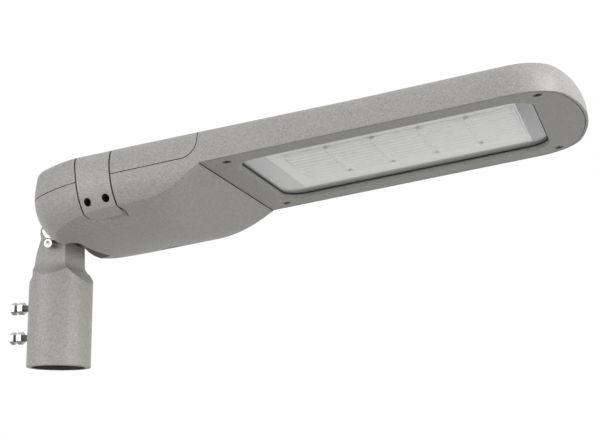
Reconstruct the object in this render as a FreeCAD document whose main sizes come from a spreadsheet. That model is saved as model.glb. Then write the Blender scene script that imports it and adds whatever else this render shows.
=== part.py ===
import FreeCAD, Part
import math
import os
import Sketcher

# LED street light head on a tilting pole spigot.
# Part frame: origin at the middle of the spigot mouth, +Z up the spigot,
# +X towards the tip of the head, millimetres.
# The head is drawn level in a frame of its own: origin on the underside between
# the rear pair of bezel screws, x to the tip, z up, and is then tilted on the pivot.

os.makedirs("parts", exist_ok=True)
doc = FreeCAD.newDocument("StreetLightHead")
sheet = doc.addObject("Spreadsheet::Sheet", "Sizes")
vector = FreeCAD.Vector

sizeRows = [
    # outline of the head from above
    ("halfWidth", 130.0), ("tipEnd", 378.0), ("tipArc", 300.0), ("tipCorner", 56.0),
    ("rearStart", 137.6), ("rearFlank", 162.0), ("rearTurn", 32.2), ("rearCorner", 50.0),
    ("rearArc", 178.0), ("rearRound", 30.0),
    # section and side view of the head
    ("topHeight", 38.8), ("topFall", 4.0), ("fallStart", 100.0), ("fallEnd", 150.0),
    ("topBlend", 3000.0), ("topCorner", 11.0),
    ("flankRadius", 48.0), ("flankLevel", 6.0), ("flankBand", 2.0),
    ("floorDepth", 40.0), ("floorRadius", 480.0), ("rampStart", 23.5), ("rampAngle", 27.5),
    ("floorBlend", 80.0), ("shellWall", 4.2),
    # gear cover, its seam and its gasket
    ("partingHeight", 7.5), ("coverFront", 24.0), ("coverCorner", 20.0), ("seamGap", 0.9),
    ("gasketInset", 1.2), ("gasketWidth", 1.8), ("gearFront", 34.0),
    # clasp band
    ("bandMiddle", 148.5), ("bandWidth", 41.0), ("bandThick", 2.0), ("bandSeat", 0.2),
    ("bandGap", 1.0), ("tabInner", 96.0), ("tabCorner", 10.0),
    ("claspPitch", 22.5), ("claspHeight", 16.0), ("claspBore", 8.5), ("claspBoss", 13.0),
    ("claspSeat", 108.0), ("claspBossEnd", 104.0), ("claspBlock", 98.0),
    ("claspHead", 8.0), ("claspHeadHeight", 5.0), ("claspShank", 5.0), ("claspFloor", 1.0),
    ("scoopReach", 108.0), ("scoopRadius", 34.0), ("scoopDepth", 8.0), ("scoopAhead", 3.0),
    ("weepBore", 2.4), ("weepAft", 47.5), ("weepSide", 122.0),
    # LED chamber of the main housing
    ("rimWidth", 3.2), ("ledgeInset", 9.0), ("chamberRear", 18.0), ("chamberChamfer", 12.0),
    ("ribThick", 3.0), ("ribPitch", 34.0), ("ribMargin", 12.0),
    # bezel frame and its window
    ("bezelRear", 24.6), ("bezelThick", 4.0), ("bezelGap", 0.7), ("bezelSeal", 2.0),
    ("bezelSealInset", 1.0), ("bezelSealWidth", 3.4), ("bezelPitch", 336.0),
    ("bezelScrewInset", 22.0), ("bezelBore", 5.6), ("bezelSink", 9.6), ("bezelSinkDepth", 2.6),
    ("bezelHead", 9.0), ("bezelHeadHeight", 2.2), ("bezelShank", 5.0), ("bezelShankLength", 16.0),
    ("bezelBoss", 13.0),
    ("windowRear", 6.0), ("windowTip", 328.0), ("windowHalf", 97.0), ("windowCorner", 26.0),
    ("bevelRear", 5.0), ("bevelSide", 2.0), ("bevelTip", 1.0), ("bevelDepth", 2.5),
    ("sealLap", 1.2), ("sealThick", 1.2), ("glassThick", 4.0), ("glassLap", 4.7),
    ("sealOuter", 5.0), ("retainerLap", 0.5), ("retainerOuter", 11.0), ("retainerHeight", 5.3),
    ("retainerScrew", 3.0), ("retainerHead", 6.0), ("retainerScrewLength", 8.0),
    ("retainerPost", 5.6), ("retainerPitch", 107.0), ("retainerPostOut", 8.0),
    # module plate, reflector, boards and lenses
    ("plateThick", 4.0), ("plateLap", 8.0), ("plateScrew", 4.0), ("plateHead", 7.6),
    ("plateScrewLength", 11.0), ("plateScrewSide", 100.0), ("plateScrewPitch", 127.0),
    ("plateBoss", 10.0),
    ("sheetThick", 0.8), ("sheetRear", 30.5), ("sheetTip", 308.0), ("sheetHalf", 94.0),
    ("moduleStart", 46.0), ("modulePitch", 52.1), ("moduleGap", 0.8), ("moduleHalf", 57.0),
    ("boardThick", 1.2), ("lensThick", 3.5), ("lensMargin", 0.6), ("moduleScrewSide", 53.5),
    ("moduleScrew", 3.0), ("moduleHead", 5.4), ("moduleHeadHeight", 1.8), ("moduleScrewLength", 4.6),
    ("moduleNotch", 6.2),
    # gear compartment
    ("trayLevel", 6.0), ("trayThick", 1.5), ("trayRear", 198.0), ("trayFront", 50.0),
    ("trayHalf", 88.0), ("trayScrewInset", 10.0), ("trayPost", 10.0), ("trayScrew", 4.0), ("postRoot", 1.0),
    ("trayHead", 7.0), ("trayHeadHeight", 2.6), ("trayScrewLength", 7.0),
    ("driverRear", 184.0), ("driverLength", 120.0), ("driverInner", 20.0), ("driverWidth", 58.0),
    ("driverHeight", 32.0), ("driverEar", 11.0), ("driverEarThick", 3.0), ("driverEarHalf", 12.0),
    ("driverEdge", 2.0),
    ("terminalRear", 180.0), ("terminalLength", 60.0), ("terminalInner", 48.0),
    ("terminalWidth", 22.0), ("terminalHeight", 20.0), ("terminalWays", 5.0),
    ("terminalBore", 5.0), ("terminalDepth", 9.0),
    ("surgeRear", 112.0), ("surgeLength", 44.0), ("surgeInner", 46.0), ("surgeWidth", 28.0),
    ("surgeHeight", 27.0), ("surgeEdge", 3.0),
    ("grommetSide", 40.0), ("grommetHeight", 24.0), ("grommetNeck", 12.0), ("grommetFlange", 16.0),
    ("grommetLip", 2.0), ("grommetBore", 6.0),
    ("clampAft", 186.0), ("clampLength", 10.0), ("clampSpan", 30.0), ("clampHeight", 10.0),
    ("clampBore", 9.0), ("clampScrewSide", 11.0), ("clampFoot", 3.2), ("clampWall", 2.5),
    ("clampRoof", 2.0), ("clampEdge", 1.0),
    ("earthSide", 22.0), ("earthAft", 235.0), ("earthScrew", 5.0), ("earthHead", 9.5),
    ("earthHeadHeight", 3.4), ("earthLength", 3.2), ("earthSpare", 0.4),
    # neck pocket under the rear of the head
    ("pocketHalf", 49.5), ("pocketFront", 211.5), ("pocketTop", 6.0), ("pocketCorner", 10.0),
    ("earInner", 12.0), ("earOuter", 19.7), ("earHalf", 12.0), ("earTipHalf", 8.0),
    ("earDrop", 26.0), ("earCorner", 4.0),
    ("glandThread", 16.0), ("glandHex", 20.0), ("glandHexLength", 5.0), ("glandDome", 15.0),
    ("glandDomeLength", 6.0), ("glandBore", 8.0), ("glandNutHex", 22.0), ("glandNutLength", 4.0),
    ("glandTail", 8.0), ("glandDrop", 13.0),
    ("valveThread", 12.0), ("valveCap", 15.0), ("valveCapLength", 4.0), ("valveTail", 5.0),
    ("valveSide", 27.0),
    # spigot
    ("socketBore", 62.0), ("socketDepth", 88.0), ("socketWall", 6.5),
    ("tubeEdge", 1.0), ("pivotHeight", 158.0), ("eyeRadius", 16.2), ("neckHalf", 26.0),
    ("neckFoot", 118.0), ("neckFront", 17.6), ("neckTop", 12.8), ("neckMid", 21.5),
    ("neckMidLevel", 128.0), ("neckStep", 22.5), ("stepLow", 96.0), ("stepHigh", 105.0),
    ("stepBlend", 4.0), ("footBlend", 12.0), ("neckHollowHalf", 20.0), ("neckHollowX", 13.0),
    ("hollowFloor", 103.0), ("hollowCorner", 2.0), ("forkFoot", 146.0), ("wireBore", 26.0),
    ("headTilt", 7.5), ("pivotAft", 252.0), ("pivotDrop", 13.4),
    # tilt bolt, lock screw and clamp screws
    ("tiltBolt", 10.0), ("tiltFit", 0.08), ("tiltHex", 17.0), ("tiltHeadHeight", 6.4),
    ("tiltNutHeight", 8.0), ("washerOuter", 20.0), ("washerThick", 2.0), ("tiltBoltTail", 3.0),
    ("setScrew", 8.0), ("setHex", 13.0), ("setHeadHeight", 5.3), ("setNutHeight", 6.5),
    ("lockScrew", 6.0), ("lockHex", 10.0), ("lockHeadHeight", 4.0), ("lockNutHeight", 5.0),
    ("lockDrop", 15.5), ("lockTipGap", 0.3), ("lockSpare", 2.0),
    ("clampLow", 36.5), ("clampHigh", 72.0), ("clampTip", 31.2), ("clampReach", 57.7),
    ("clampNutReach", 47.5),
    # fits
    ("threadGap", 0.05), ("boltGap", 0.3), ("sinkGap", 0.1), ("notchGap", 0.2), ("cutoutGap", 0.6),
    ("tapSpare", 1.0), ("hexChamfer", 0.8), ("socketHex", 4.0), ("socketHexDepth", 2.4),
    ("bezelKeyDepth", 1.5),
]
for row, (name, size) in enumerate(sizeRows, 1):
    sheet.set("A%d" % row, name)
    sheet.set("B%d" % row, str(size))
    sheet.setAlias("B%d" % row, name)
doc.recompute()


def size(name):
    return float(sheet.get(name))


s = {name: size(name) for name, _ in sizeRows}

xAxis = vector(1, 0, 0)
yAxis = vector(0, 1, 0)
zAxis = vector(0, 0, 1)
wide = 4 * s["halfWidth"]
past = 1.0  # how far a cutting shape runs past the face that it opens
margin = 10.0  # how far an outline reaches round the part that it trims
touch = 0.01  # the distance within which an edge counts as lying on a level
modules = 5  # LED modules in a row along the window
ribsEachSide = 2  # cooling ribs on each side of the middle one

# the head's frame seen from the part frame
tilted = FreeCAD.Rotation(yAxis, -s["headTilt"])
pivotInHead = vector(-s["pivotAft"], 0, -s["pivotDrop"])
headFrame = FreeCAD.Placement(
    vector(0, 0, s["pivotHeight"]) - tilted.multVec(pivotInHead), tilted)
headX = ("Sizes.pivotAft * cos(Sizes.headTilt * 1 deg)"
         " - Sizes.pivotDrop * sin(Sizes.headTilt * 1 deg)")
headZ = ("Sizes.pivotHeight + Sizes.pivotAft * sin(Sizes.headTilt * 1 deg)"
         " + Sizes.pivotDrop * cos(Sizes.headTilt * 1 deg)")


def box(x0, x1, y0, y1, z0, z1):
    return Part.makeBox(x1 - x0, y1 - y0, z1 - z0, vector(x0, y0, z0))


def rod(radius, start, end):
    along = end - start
    return Part.makeCylinder(radius, along.Length, start, along)


def tube(outer, inner, start, end):
    return rod(outer, start, end).cut(rod(inner, start, end))


def hexagon(flats, start, end):
    # a hexagonal prism with its corners turned off at the far end
    along = end - start
    face = Part.Face(Part.makePolygon([
        vector(flats / math.sqrt(3) * math.cos(math.radians(60 * k)),
               flats / math.sqrt(3) * math.sin(math.radians(60 * k)), 0)
        for k in (0, 1, 2, 3, 4, 5, 0)]))
    prism = face.extrude(vector(0, 0, along.Length))
    corner = flats / math.sqrt(3)
    turned = Part.makeCone(corner + along.Length * math.sqrt(3) - s["hexChamfer"], corner - s["hexChamfer"],
                           along.Length)
    prism = prism.common(turned)
    prism.Placement = FreeCAD.Placement(start, FreeCAD.Rotation(zAxis, along))
    return prism


def roundedFace(corners, toSpace):
    # closed outline with an arc at each corner that has a radius: corners are (u, v, radius)
    starts = []
    ends = []
    middles = []
    count = len(corners)
    for index in range(count):
        here = vector(corners[index][0], corners[index][1], 0)
        before = vector(corners[index - 1][0], corners[index - 1][1], 0)
        after = vector(corners[(index + 1) % count][0], corners[(index + 1) % count][1], 0)
        radius = corners[index][2]
        back = (before - here).normalize()
        ahead = (after - here).normalize()
        half = back.getAngle(ahead) / 2
        if radius > 0:
            reach = radius / math.tan(half)
            starts.append(here + back * reach)
            ends.append(here + ahead * reach)
            inward = (back + ahead).normalize()
            middles.append(here + inward * (radius / math.sin(half) - radius))
        else:
            starts.append(here)
            ends.append(here)
            middles.append(None)
    edges = []
    for index in range(count):
        if middles[index] is not None:
            edges.append(Part.Arc(toSpace(starts[index]), toSpace(middles[index]),
                                  toSpace(ends[index])).toShape())
        following = starts[(index + 1) % count]
        if (following - ends[index]).Length > 1e-6:
            edges.append(Part.LineSegment(toSpace(ends[index]), toSpace(following)).toShape())
    return Part.Face(Part.Wire(edges))


def sideProfile(corners, y0, y1):
    # side view outline (x, z, radius) extruded across the head
    face = roundedFace(corners, lambda p: vector(p.x, y0, p.y))
    return face.extrude(vector(0, y1 - y0, 0))


def frontProfile(corners, x0, x1):
    face = roundedFace(corners, lambda p: vector(x0, p.x, p.y))
    return face.extrude(vector(x1 - x0, 0, 0))


def planProfile(corners, z0, z1):
    face = roundedFace(corners, lambda p: vector(p.x, p.y, z0))
    return face.extrude(vector(0, 0, z1 - z0))


def roundedRectangle(x0, x1, y0, y1, radius):
    return [(x0, y0, radius), (x1, y0, radius), (x1, y1, radius), (x0, y1, radius)]


def mirrored(shape):
    return shape.mirror(vector(0, 0, 0), yAxis)


def bothSides(shape):
    return shape.fuse(mirrored(shape))


# ---------------------------------------------------------------- head outline
def planFace(inset, level):
    # outline from above: straight flanks, a tip of one wide arc between two corner arcs,
    # and a rear whose flanks first turn in slowly and then round a tighter corner
    half = s["halfWidth"] - inset
    upright = math.pi / 2

    def polar(centre, radius, angle):
        # angle from straight aside (0) to straight ahead
        return vector(centre.x + radius * math.sin(angle), centre.y + radius * math.cos(angle), level)

    def across(point):
        return vector(point.x, -point.y, point.z)

    # tip
    side = s["halfWidth"] - s["tipCorner"]
    tipX = s["tipEnd"] - s["tipArc"]
    corner = vector(tipX + math.sqrt((s["tipArc"] - s["tipCorner"]) ** 2 - side ** 2), side, 0)
    turn = math.atan2(corner.x - tipX, side)
    join = polar(vector(tipX, 0, 0), s["tipArc"] - inset, turn)
    middle = polar(corner, s["tipCorner"] - inset, turn / 2)
    flank = vector(corner.x, half, level)
    end = vector(s["tipEnd"] - inset, 0, level)
    # rear, measured the same way but towards minus x
    slow = vector(-s["rearStart"], s["halfWidth"] - s["rearFlank"], 0)
    bend = math.radians(s["rearTurn"])
    tight = polar(slow, s["rearFlank"] - s["rearCorner"], -bend)
    rearX = tight.x + math.sqrt((s["rearArc"] - s["rearCorner"]) ** 2 - tight.y ** 2)
    last = math.atan2(rearX - tight.x, tight.y)
    rearFlank = polar(slow, s["rearFlank"] - inset, 0)
    rearSlow = polar(slow, s["rearFlank"] - inset, -bend / 2)
    rearBend = polar(slow, s["rearFlank"] - inset, -bend)
    rearMiddle = polar(tight, s["rearCorner"] - inset, -(bend + last) / 2)
    rearJoin = polar(vector(rearX, 0, 0), s["rearArc"] - inset, -last)
    rearMost = polar(vector(rearX, 0, 0), s["rearArc"] - inset, -upright)
    return Part.Face(Part.Wire([
        Part.LineSegment(rearFlank, flank).toShape(),
        Part.Arc(flank, middle, join).toShape(),
        Part.Arc(join, end, across(join)).toShape(),
        Part.Arc(across(join), across(middle), across(flank)).toShape(),
        Part.LineSegment(across(flank), across(rearFlank)).toShape(),
        Part.Arc(across(rearFlank), across(rearSlow), across(rearBend)).toShape(),
        Part.Arc(across(rearBend), across(rearMiddle), across(rearJoin)).toShape(),
        Part.Arc(across(rearJoin), rearMost, rearJoin).toShape(),
        Part.Arc(rearJoin, rearMiddle, rearBend).toShape(),
        Part.Arc(rearBend, rearSlow, rearFlank).toShape()]))


def planSlab(inset, low, high):
    return planFace(inset, low).extrude(vector(0, 0, high - low))


def headBlank(inset):
    # the outer form without its underside, or the same form shrunk evenly by inset:
    # full round flanks, a nearly level top and a small corner round the top
    bend = s["flankRadius"] - inset
    low = s["flankLevel"] - bend
    high = s["flankLevel"] + s["flankBand"] + bend
    slab = planSlab(inset, low, high)
    slab = slab.makeFillet(bend, [e for e in slab.Edges if e.BoundBox.ZMax < low + touch])
    slab = roundUpper(slab, high, inset)
    top = s["topHeight"] - inset
    tipTop = top - s["topFall"]
    below = sideProfile([
        (-wide, -wide, 0), (2 * wide, -wide, 0), (2 * wide, tipTop, 0), (s["fallEnd"], tipTop, s["topBlend"]),
        (-s["fallStart"], top, s["topBlend"]), (-wide, top, 0)], -wide, wide)
    slab = slab.common(below)
    rim = [e for e in slab.Edges if e.BoundBox.ZMin > tipTop - 0.5 and not crossesTop(e)]
    return slab.makeFillet(s["topCorner"] - inset, rim)


def roundUpper(slab, high, inset):
    # rounds the upper outline: full radius along the flanks, the tip and the rear,
    # tightening towards the two points where the rear flanks turn into their corners
    full = s["flankRadius"] - inset
    tight = s["rearRound"] - inset
    turnX = -s["rearStart"] - (s["rearFlank"] - inset) * math.sin(math.radians(s["rearTurn"]))
    base = doc.addObject("Part::Feature", "upperBase")
    base.Shape = slab
    rounded = doc.addObject("Part::Fillet", "upperRound")
    rounded.Base = base
    rows = []
    for number, edge in enumerate(slab.Edges, 1):
        if edge.BoundBox.ZMin > high - touch:
            ends = [edge.valueAt(edge.FirstParameter), edge.valueAt(edge.LastParameter)]
            radii = [tight if abs(end.x - turnX) < 0.5 else full for end in ends]
            rows.append((number, radii[0], radii[1]))
    rounded.Edges = rows
    doc.recompute()
    if "Invalid" in rounded.State or not rounded.Shape.isValid():
        raise ValueError("the upper rounding failed")
    form = rounded.Shape.copy()
    doc.removeObject(rounded.Name)
    doc.removeObject(base.Name)
    return form


def crossesTop(edge):
    # true for the blend lines that run straight across the top face
    return edge.BoundBox.XLength < touch and edge.BoundBox.YLength > s["halfWidth"]


def undersideForm(rise):
    # everything above the level LED face, the ramp and the crowned floor
    rear = -s["rearStart"] - wide
    tip = s["tipEnd"] + s["halfWidth"]
    side = s["halfWidth"] + margin
    fall = math.tan(math.radians(s["rampAngle"]))
    start = -s["rampStart"]
    above = sideProfile([
        (tip, rise, 0), (start, rise, 0), (rear, rise - (start - rear) * fall, 0),
        (rear, wide, 0), (tip, wide, 0)], -side, side)
    axis = s["floorRadius"] - s["floorDepth"] + rise
    crown = rod(s["floorRadius"], vector(rear, 0, axis), vector(tip, 0, axis))
    form = above.common(crown)
    deepest = start - s["floorDepth"] / fall
    seams = [e for e in form.Edges
             if abs(e.BoundBox.XMin - deepest) < past and e.BoundBox.YLength > side
             and e.BoundBox.ZMax < rise - past]
    return form.makeFillet(s["floorBlend"], seams)


def floorLevel(side):
    return s["floorRadius"] - s["floorDepth"] - math.sqrt(s["floorRadius"] ** 2 - side ** 2)


def headForm(inset):
    return headBlank(inset).common(undersideForm(inset))


def coverRegion(gap):
    # side view of the gear cover: flat parting, rounded lower front corner
    rear = -s["rearStart"] - 2 * s["halfWidth"]
    high = 3 * s["topHeight"]
    return sideProfile([
        (rear, s["partingHeight"] + gap, 0),
        (-s["coverFront"] - gap, s["partingHeight"] + gap, s["coverCorner"] - gap),
        (-s["coverFront"] - gap, high, 0), (rear, high, 0)], -wide, wide)


def bandForm(depth, grow):
    # strap round the gear part whose ends wrap under the belly as rounded tabs
    x0 = -s["bandMiddle"] - s["bandWidth"] / 2 - grow
    x1 = -s["bandMiddle"] + s["bandWidth"] / 2 + grow
    strap = box(x0, x1, -wide, wide, 0, wide)
    inner = s["tabInner"] - grow
    corner = s["tabCorner"] + grow
    tab = planProfile([(x0, inner, corner), (x1, inner, corner), (x1, wide, 0), (x0, wide, 0)], -wide, 0)
    strap = strap.fuse(bothSides(tab))
    return strap.common(outerForm).cut(headForm(depth))


def claspPoints():
    points = []
    for side in (-1, 1):
        for end in (-1, 1):
            points.append((-s["bandMiddle"] + end * s["claspPitch"] / 2, side))
    return points


def claspRod(radius, inner, outer, along, side):
    return rod(radius, vector(along, side * inner, -s["claspHeight"]),
               vector(along, side * outer, -s["claspHeight"]))


outerForm = headForm(0)

# ---------------------------------------------------------------- levels over the bezel face
ledgeLevel = s["bezelThick"] + s["bezelSeal"]
glassLevel = s["bezelThick"] + s["sealThick"]
retainerLevel = glassLevel + s["glassThick"]
plateLevel = retainerLevel + s["retainerHeight"]
plateTop = plateLevel + s["plateThick"]
roofLevel = s["topHeight"] - s["topFall"] - s["shellWall"]
trayTop = -s["trayLevel"] + s["trayThick"]
lockLevel = s["pivotHeight"] - s["lockDrop"]
windowMiddle = (s["windowRear"] + s["windowTip"]) / 2

bezelPoints = [(along, side * (s["halfWidth"] - s["bezelScrewInset"]))
               for along in (0, s["bezelPitch"]) for side in (-1, 1)]
retainerPoints = [(windowMiddle + k * s["retainerPitch"], side * (s["windowHalf"] + s["retainerPostOut"]))
                  for k in (-1, 0, 1) for side in (-1, 1)]
retainerPoints.append((s["windowRear"] - s["retainerPostOut"], 0))
retainerPoints.append((s["windowTip"] + s["retainerPostOut"], 0))
platePoints = [(windowMiddle + k * s["plateScrewPitch"], side * s["plateScrewSide"])
               for k in (-1, 0, 1) for side in (-1, 1)]
modulePoints = [(s["moduleStart"] + k * s["modulePitch"] - s["moduleGap"] / 2, side * s["moduleScrewSide"])
                for k in range(1, modules) for side in (-1, 1)]
trayPoints = [(along, side * (s["trayHalf"] - s["trayScrewInset"]))
              for along in (-s["trayRear"] + s["trayScrewInset"], -s["trayFront"] - s["trayScrewInset"])
              for side in (-1, 1)]


# ---------------------------------------------------------------- main housing
def mainHousing():
    shell = outerForm.cut(coverRegion(0))
    # gear compartment, open at the top
    gear = headForm(s["shellWall"]).common(box(-wide, -s["gearFront"], -wide, wide, -wide, wide))
    shell = shell.cut(gear)
    # blocks behind the clasp screws and behind the finger scoops
    bandHalf = s["bandWidth"] / 2 + s["bandGap"]
    block = box(-s["bandMiddle"] - bandHalf, -s["bandMiddle"] + bandHalf,
                s["claspBlock"], s["halfWidth"], -s["floorDepth"], 0)
    scoopZ = floorLevel(s["scoopReach"]) + s["scoopDepth"] - s["scoopRadius"]
    scoopAt = vector(-s["bandMiddle"] + s["scoopAhead"], s["scoopReach"], scoopZ)
    swell = Part.makeSphere(s["scoopRadius"] + s["shellWall"], scoopAt)
    shell = shell.fuse([bothSides(block).common(outerForm), bothSides(swell).common(outerForm)])
    shell = shell.cut(bothSides(Part.makeSphere(s["scoopRadius"], scoopAt)))
    # neck pocket: side walls, front wall and ceiling, then the opening itself
    outerHalf = s["pocketHalf"] + s["shellWall"]
    blockFront = -s["pocketFront"] + s["shellWall"]
    lower = box(-wide, blockFront, -outerHalf, outerHalf, -wide, s["partingHeight"]).common(outerForm)
    ceiling = box(-wide, blockFront, -outerHalf, outerHalf, s["pocketTop"],
                  s["pocketTop"] + s["shellWall"])
    ceiling = ceiling.common(planSlab(s["shellWall"] + s["seamGap"], -wide, wide))
    shell = shell.fuse([lower, ceiling])
    corner = s["pocketCorner"]
    opening = planProfile([
        (-wide, -s["pocketHalf"], 0), (-s["pocketFront"], -s["pocketHalf"], corner),
        (-s["pocketFront"], s["pocketHalf"], corner), (-wide, s["pocketHalf"], 0)],
        -wide, s["pocketTop"])
    shell = shell.cut(opening)
    # ears that carry the tilt bolt
    down = tilted.inverted().multVec(vector(0, 0, -1))
    across = tilted.inverted().multVec(xAxis)
    tip = pivotInHead + down * s["earDrop"]
    rear = tip - across * s["earTipHalf"]
    fore = tip + across * s["earTipHalf"]
    ear = sideProfile([
        (pivotInHead.x - s["earHalf"], s["pocketTop"] + past, 0),
        (pivotInHead.x - s["earHalf"], pivotInHead.z, s["earCorner"]),
        (rear.x, rear.z, s["earCorner"]), (fore.x, fore.z, s["earCorner"]),
        (pivotInHead.x + s["earHalf"], pivotInHead.z, s["earCorner"]),
        (pivotInHead.x + s["earHalf"], s["pocketTop"] + past, 0)], s["earInner"], s["earOuter"])
    shell = shell.fuse(bothSides(ear))
    # LED chamber from below: bezel seat, ledge for its seal, cavity with sloped shoulders
    seat = planSlab(s["rimWidth"], -past, ledgeLevel)
    seat = seat.common(box(-s["bezelRear"] - s["bezelGap"], wide, -wide, wide, -wide, wide))
    chamber = planSlab(s["ledgeInset"], ledgeLevel - past, roofLevel)
    chamber = chamber.common(box(-s["chamberRear"], wide, -wide, wide, -wide, wide))
    roofEdges = [e for e in chamber.Edges if e.BoundBox.ZMin > roofLevel - touch]
    chamber = chamber.makeChamfer(s["chamberChamfer"], roofEdges)
    shell = shell.cut(seat.fuse(chamber))
    ribs = []
    for k in range(-ribsEachSide, ribsEachSide + 1):
        ribs.append(box(s["windowRear"] + s["ribMargin"], s["windowTip"] - s["ribMargin"],
                        k * s["ribPitch"] - s["ribThick"] / 2, k * s["ribPitch"] + s["ribThick"] / 2,
                        plateTop, roofLevel + past))
    for along, side in bezelPoints:
        ribs.append(rod(s["bezelBoss"] / 2, vector(along, side, ledgeLevel),
                        vector(along, side, roofLevel + past)))
    for along, side in platePoints:
        ribs.append(rod(s["plateBoss"] / 2, vector(along, side, plateTop),
                        vector(along, side, roofLevel + past)))
    for along, side in trayPoints:
        ribs.append(rod(s["trayPost"] / 2, vector(along, side, floorLevel(side) + s["postRoot"]),
                        vector(along, side, -s["trayLevel"])))
    shell = shell.fuse([rib.common(outerForm) for rib in ribs])
    # band seat, clasp sockets, tapped holes and the small openings
    holes = [bandForm(s["bandThick"] + s["bandSeat"], s["bandGap"])]
    for along, side in claspPoints():
        holes.append(claspRod(s["claspBoss"] / 2 + s["bandSeat"], s["claspBossEnd"] - s["bandSeat"],
                              s["halfWidth"], along, side))
        holes.append(claspRod(s["claspShank"] / 2 + s["threadGap"], s["claspBlock"] + s["claspFloor"],
                              s["halfWidth"], along, side))
    for along, side in bezelPoints:
        holes.append(rod(s["bezelShank"] / 2 + s["threadGap"], vector(along, side, 0),
                         vector(along, side, s["bezelSinkDepth"] + s["bezelShankLength"] + s["tapSpare"])))
    for along, side in platePoints:
        holes.append(rod(s["plateScrew"] / 2 + s["threadGap"], vector(along, side, plateLevel),
                         vector(along, side, plateLevel + s["plateScrewLength"] + s["tapSpare"])))
    for along, side in trayPoints:
        holes.append(rod(s["trayScrew"] / 2 + s["threadGap"],
                         vector(along, side, trayTop - s["trayScrewLength"] - s["tapSpare"]),
                         vector(along, side, 0)))
    pivotReach = s["pocketHalf"] - past
    holes.append(rod(s["tiltBolt"] / 2 + s["tiltFit"], pivotInHead - yAxis * pivotReach,
                     pivotInHead + yAxis * pivotReach))
    holes.append(rod(s["glandThread"] / 2 + s["boltGap"],
                     vector(-s["pocketFront"] - past, 0, -s["glandDrop"]),
                     vector(-s["pocketFront"] + s["shellWall"] + past, 0, -s["glandDrop"])))
    holes.append(rod(s["valveThread"] / 2 + s["threadGap"],
                     vector(-s["pocketFront"] - past, s["valveSide"], -s["glandDrop"]),
                     vector(-s["pocketFront"] + s["shellWall"] + past, s["valveSide"], -s["glandDrop"])))
    holes.append(rod(s["grommetNeck"] / 2 + s["threadGap"],
                     vector(-s["coverFront"] - past, s["grommetSide"], s["grommetHeight"]),
                     vector(-s["chamberRear"] + past, s["grommetSide"], s["grommetHeight"])))
    for start, end in ((-s["coverFront"] - s["coverCorner"], -s["coverFront"]),
                       (-s["chamberRear"], -s["chamberRear"] + s["chamberChamfer"])):
        # flat seats for the two flanges of the wire grommet
        holes.append(rod(s["grommetFlange"] / 2 + s["boltGap"],
                         vector(start, s["grommetSide"], s["grommetHeight"]),
                         vector(end, s["grommetSide"], s["grommetHeight"])))
    holes.append(rod(s["earthScrew"] / 2 + s["threadGap"],
                     vector(-s["earthAft"], s["earthSide"],
                            s["pocketTop"] + s["shellWall"] - s["earthLength"] - s["earthSpare"]),
                     vector(-s["earthAft"], s["earthSide"], s["pocketTop"] + s["shellWall"] + past)))
    holes.append(rod(s["weepBore"] / 2, vector(-s["weepAft"], -s["weepSide"], -s["floorDepth"]),
                     vector(-s["weepAft"], -s["weepSide"], 0)))
    return shell.cut(holes)


def gearCover():
    skin = outerForm.cut(headBlank(s["shellWall"])).common(coverRegion(s["seamGap"]))
    holes = [bandForm(s["bandThick"] + s["bandSeat"], s["bandGap"])]
    return skin.cut(holes)


def coverGasket():
    ring = headBlank(s["gasketInset"]).cut(headBlank(s["gasketInset"] + s["gasketWidth"]))
    ring = ring.common(coverRegion(0)).cut(coverRegion(s["seamGap"]))
    return ring.cut(bandForm(s["bandThick"] + s["bandSeat"], s["bandGap"]))


def claspBand():
    band = bandForm(s["bandThick"], 0)
    for along, side in claspPoints():
        boss = claspRod(s["claspBoss"] / 2, s["claspBossEnd"], s["halfWidth"], along, side)
        band = band.fuse(boss.common(outerForm))
    for along, side in claspPoints():
        band = band.cut(claspRod(s["claspBore"] / 2, s["claspSeat"], s["halfWidth"], along, side))
        band = band.cut(claspRod(s["claspShank"] / 2 + s["boltGap"], 0, s["halfWidth"], along, side))
    return band


def claspScrews():
    screws = []
    for along, side in claspPoints():
        seat = s["claspSeat"]
        head = claspRod(s["claspHead"] / 2, seat, seat + s["claspHeadHeight"], along, side)
        shank = claspRod(s["claspShank"] / 2, s["claspBlock"] + 2 * s["claspFloor"], seat, along, side)
        top = side * (seat + s["claspHeadHeight"])
        key = hexagon(s["socketHex"],
                      vector(along, top - side * s["socketHexDepth"], -s["claspHeight"]),
                      vector(along, top + side * s["claspHeadHeight"], -s["claspHeight"]))
        screws.append(head.fuse(shank).cut(key))
    return Part.makeCompound(screws)


# ---------------------------------------------------------------- bezel
def windowCorners(grow, rear, side, tip):
    return roundedRectangle(s["windowRear"] - rear - grow, s["windowTip"] + tip + grow,
                            -s["windowHalf"] - side - grow, s["windowHalf"] + side + grow,
                            s["windowCorner"] + side + grow)


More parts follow.
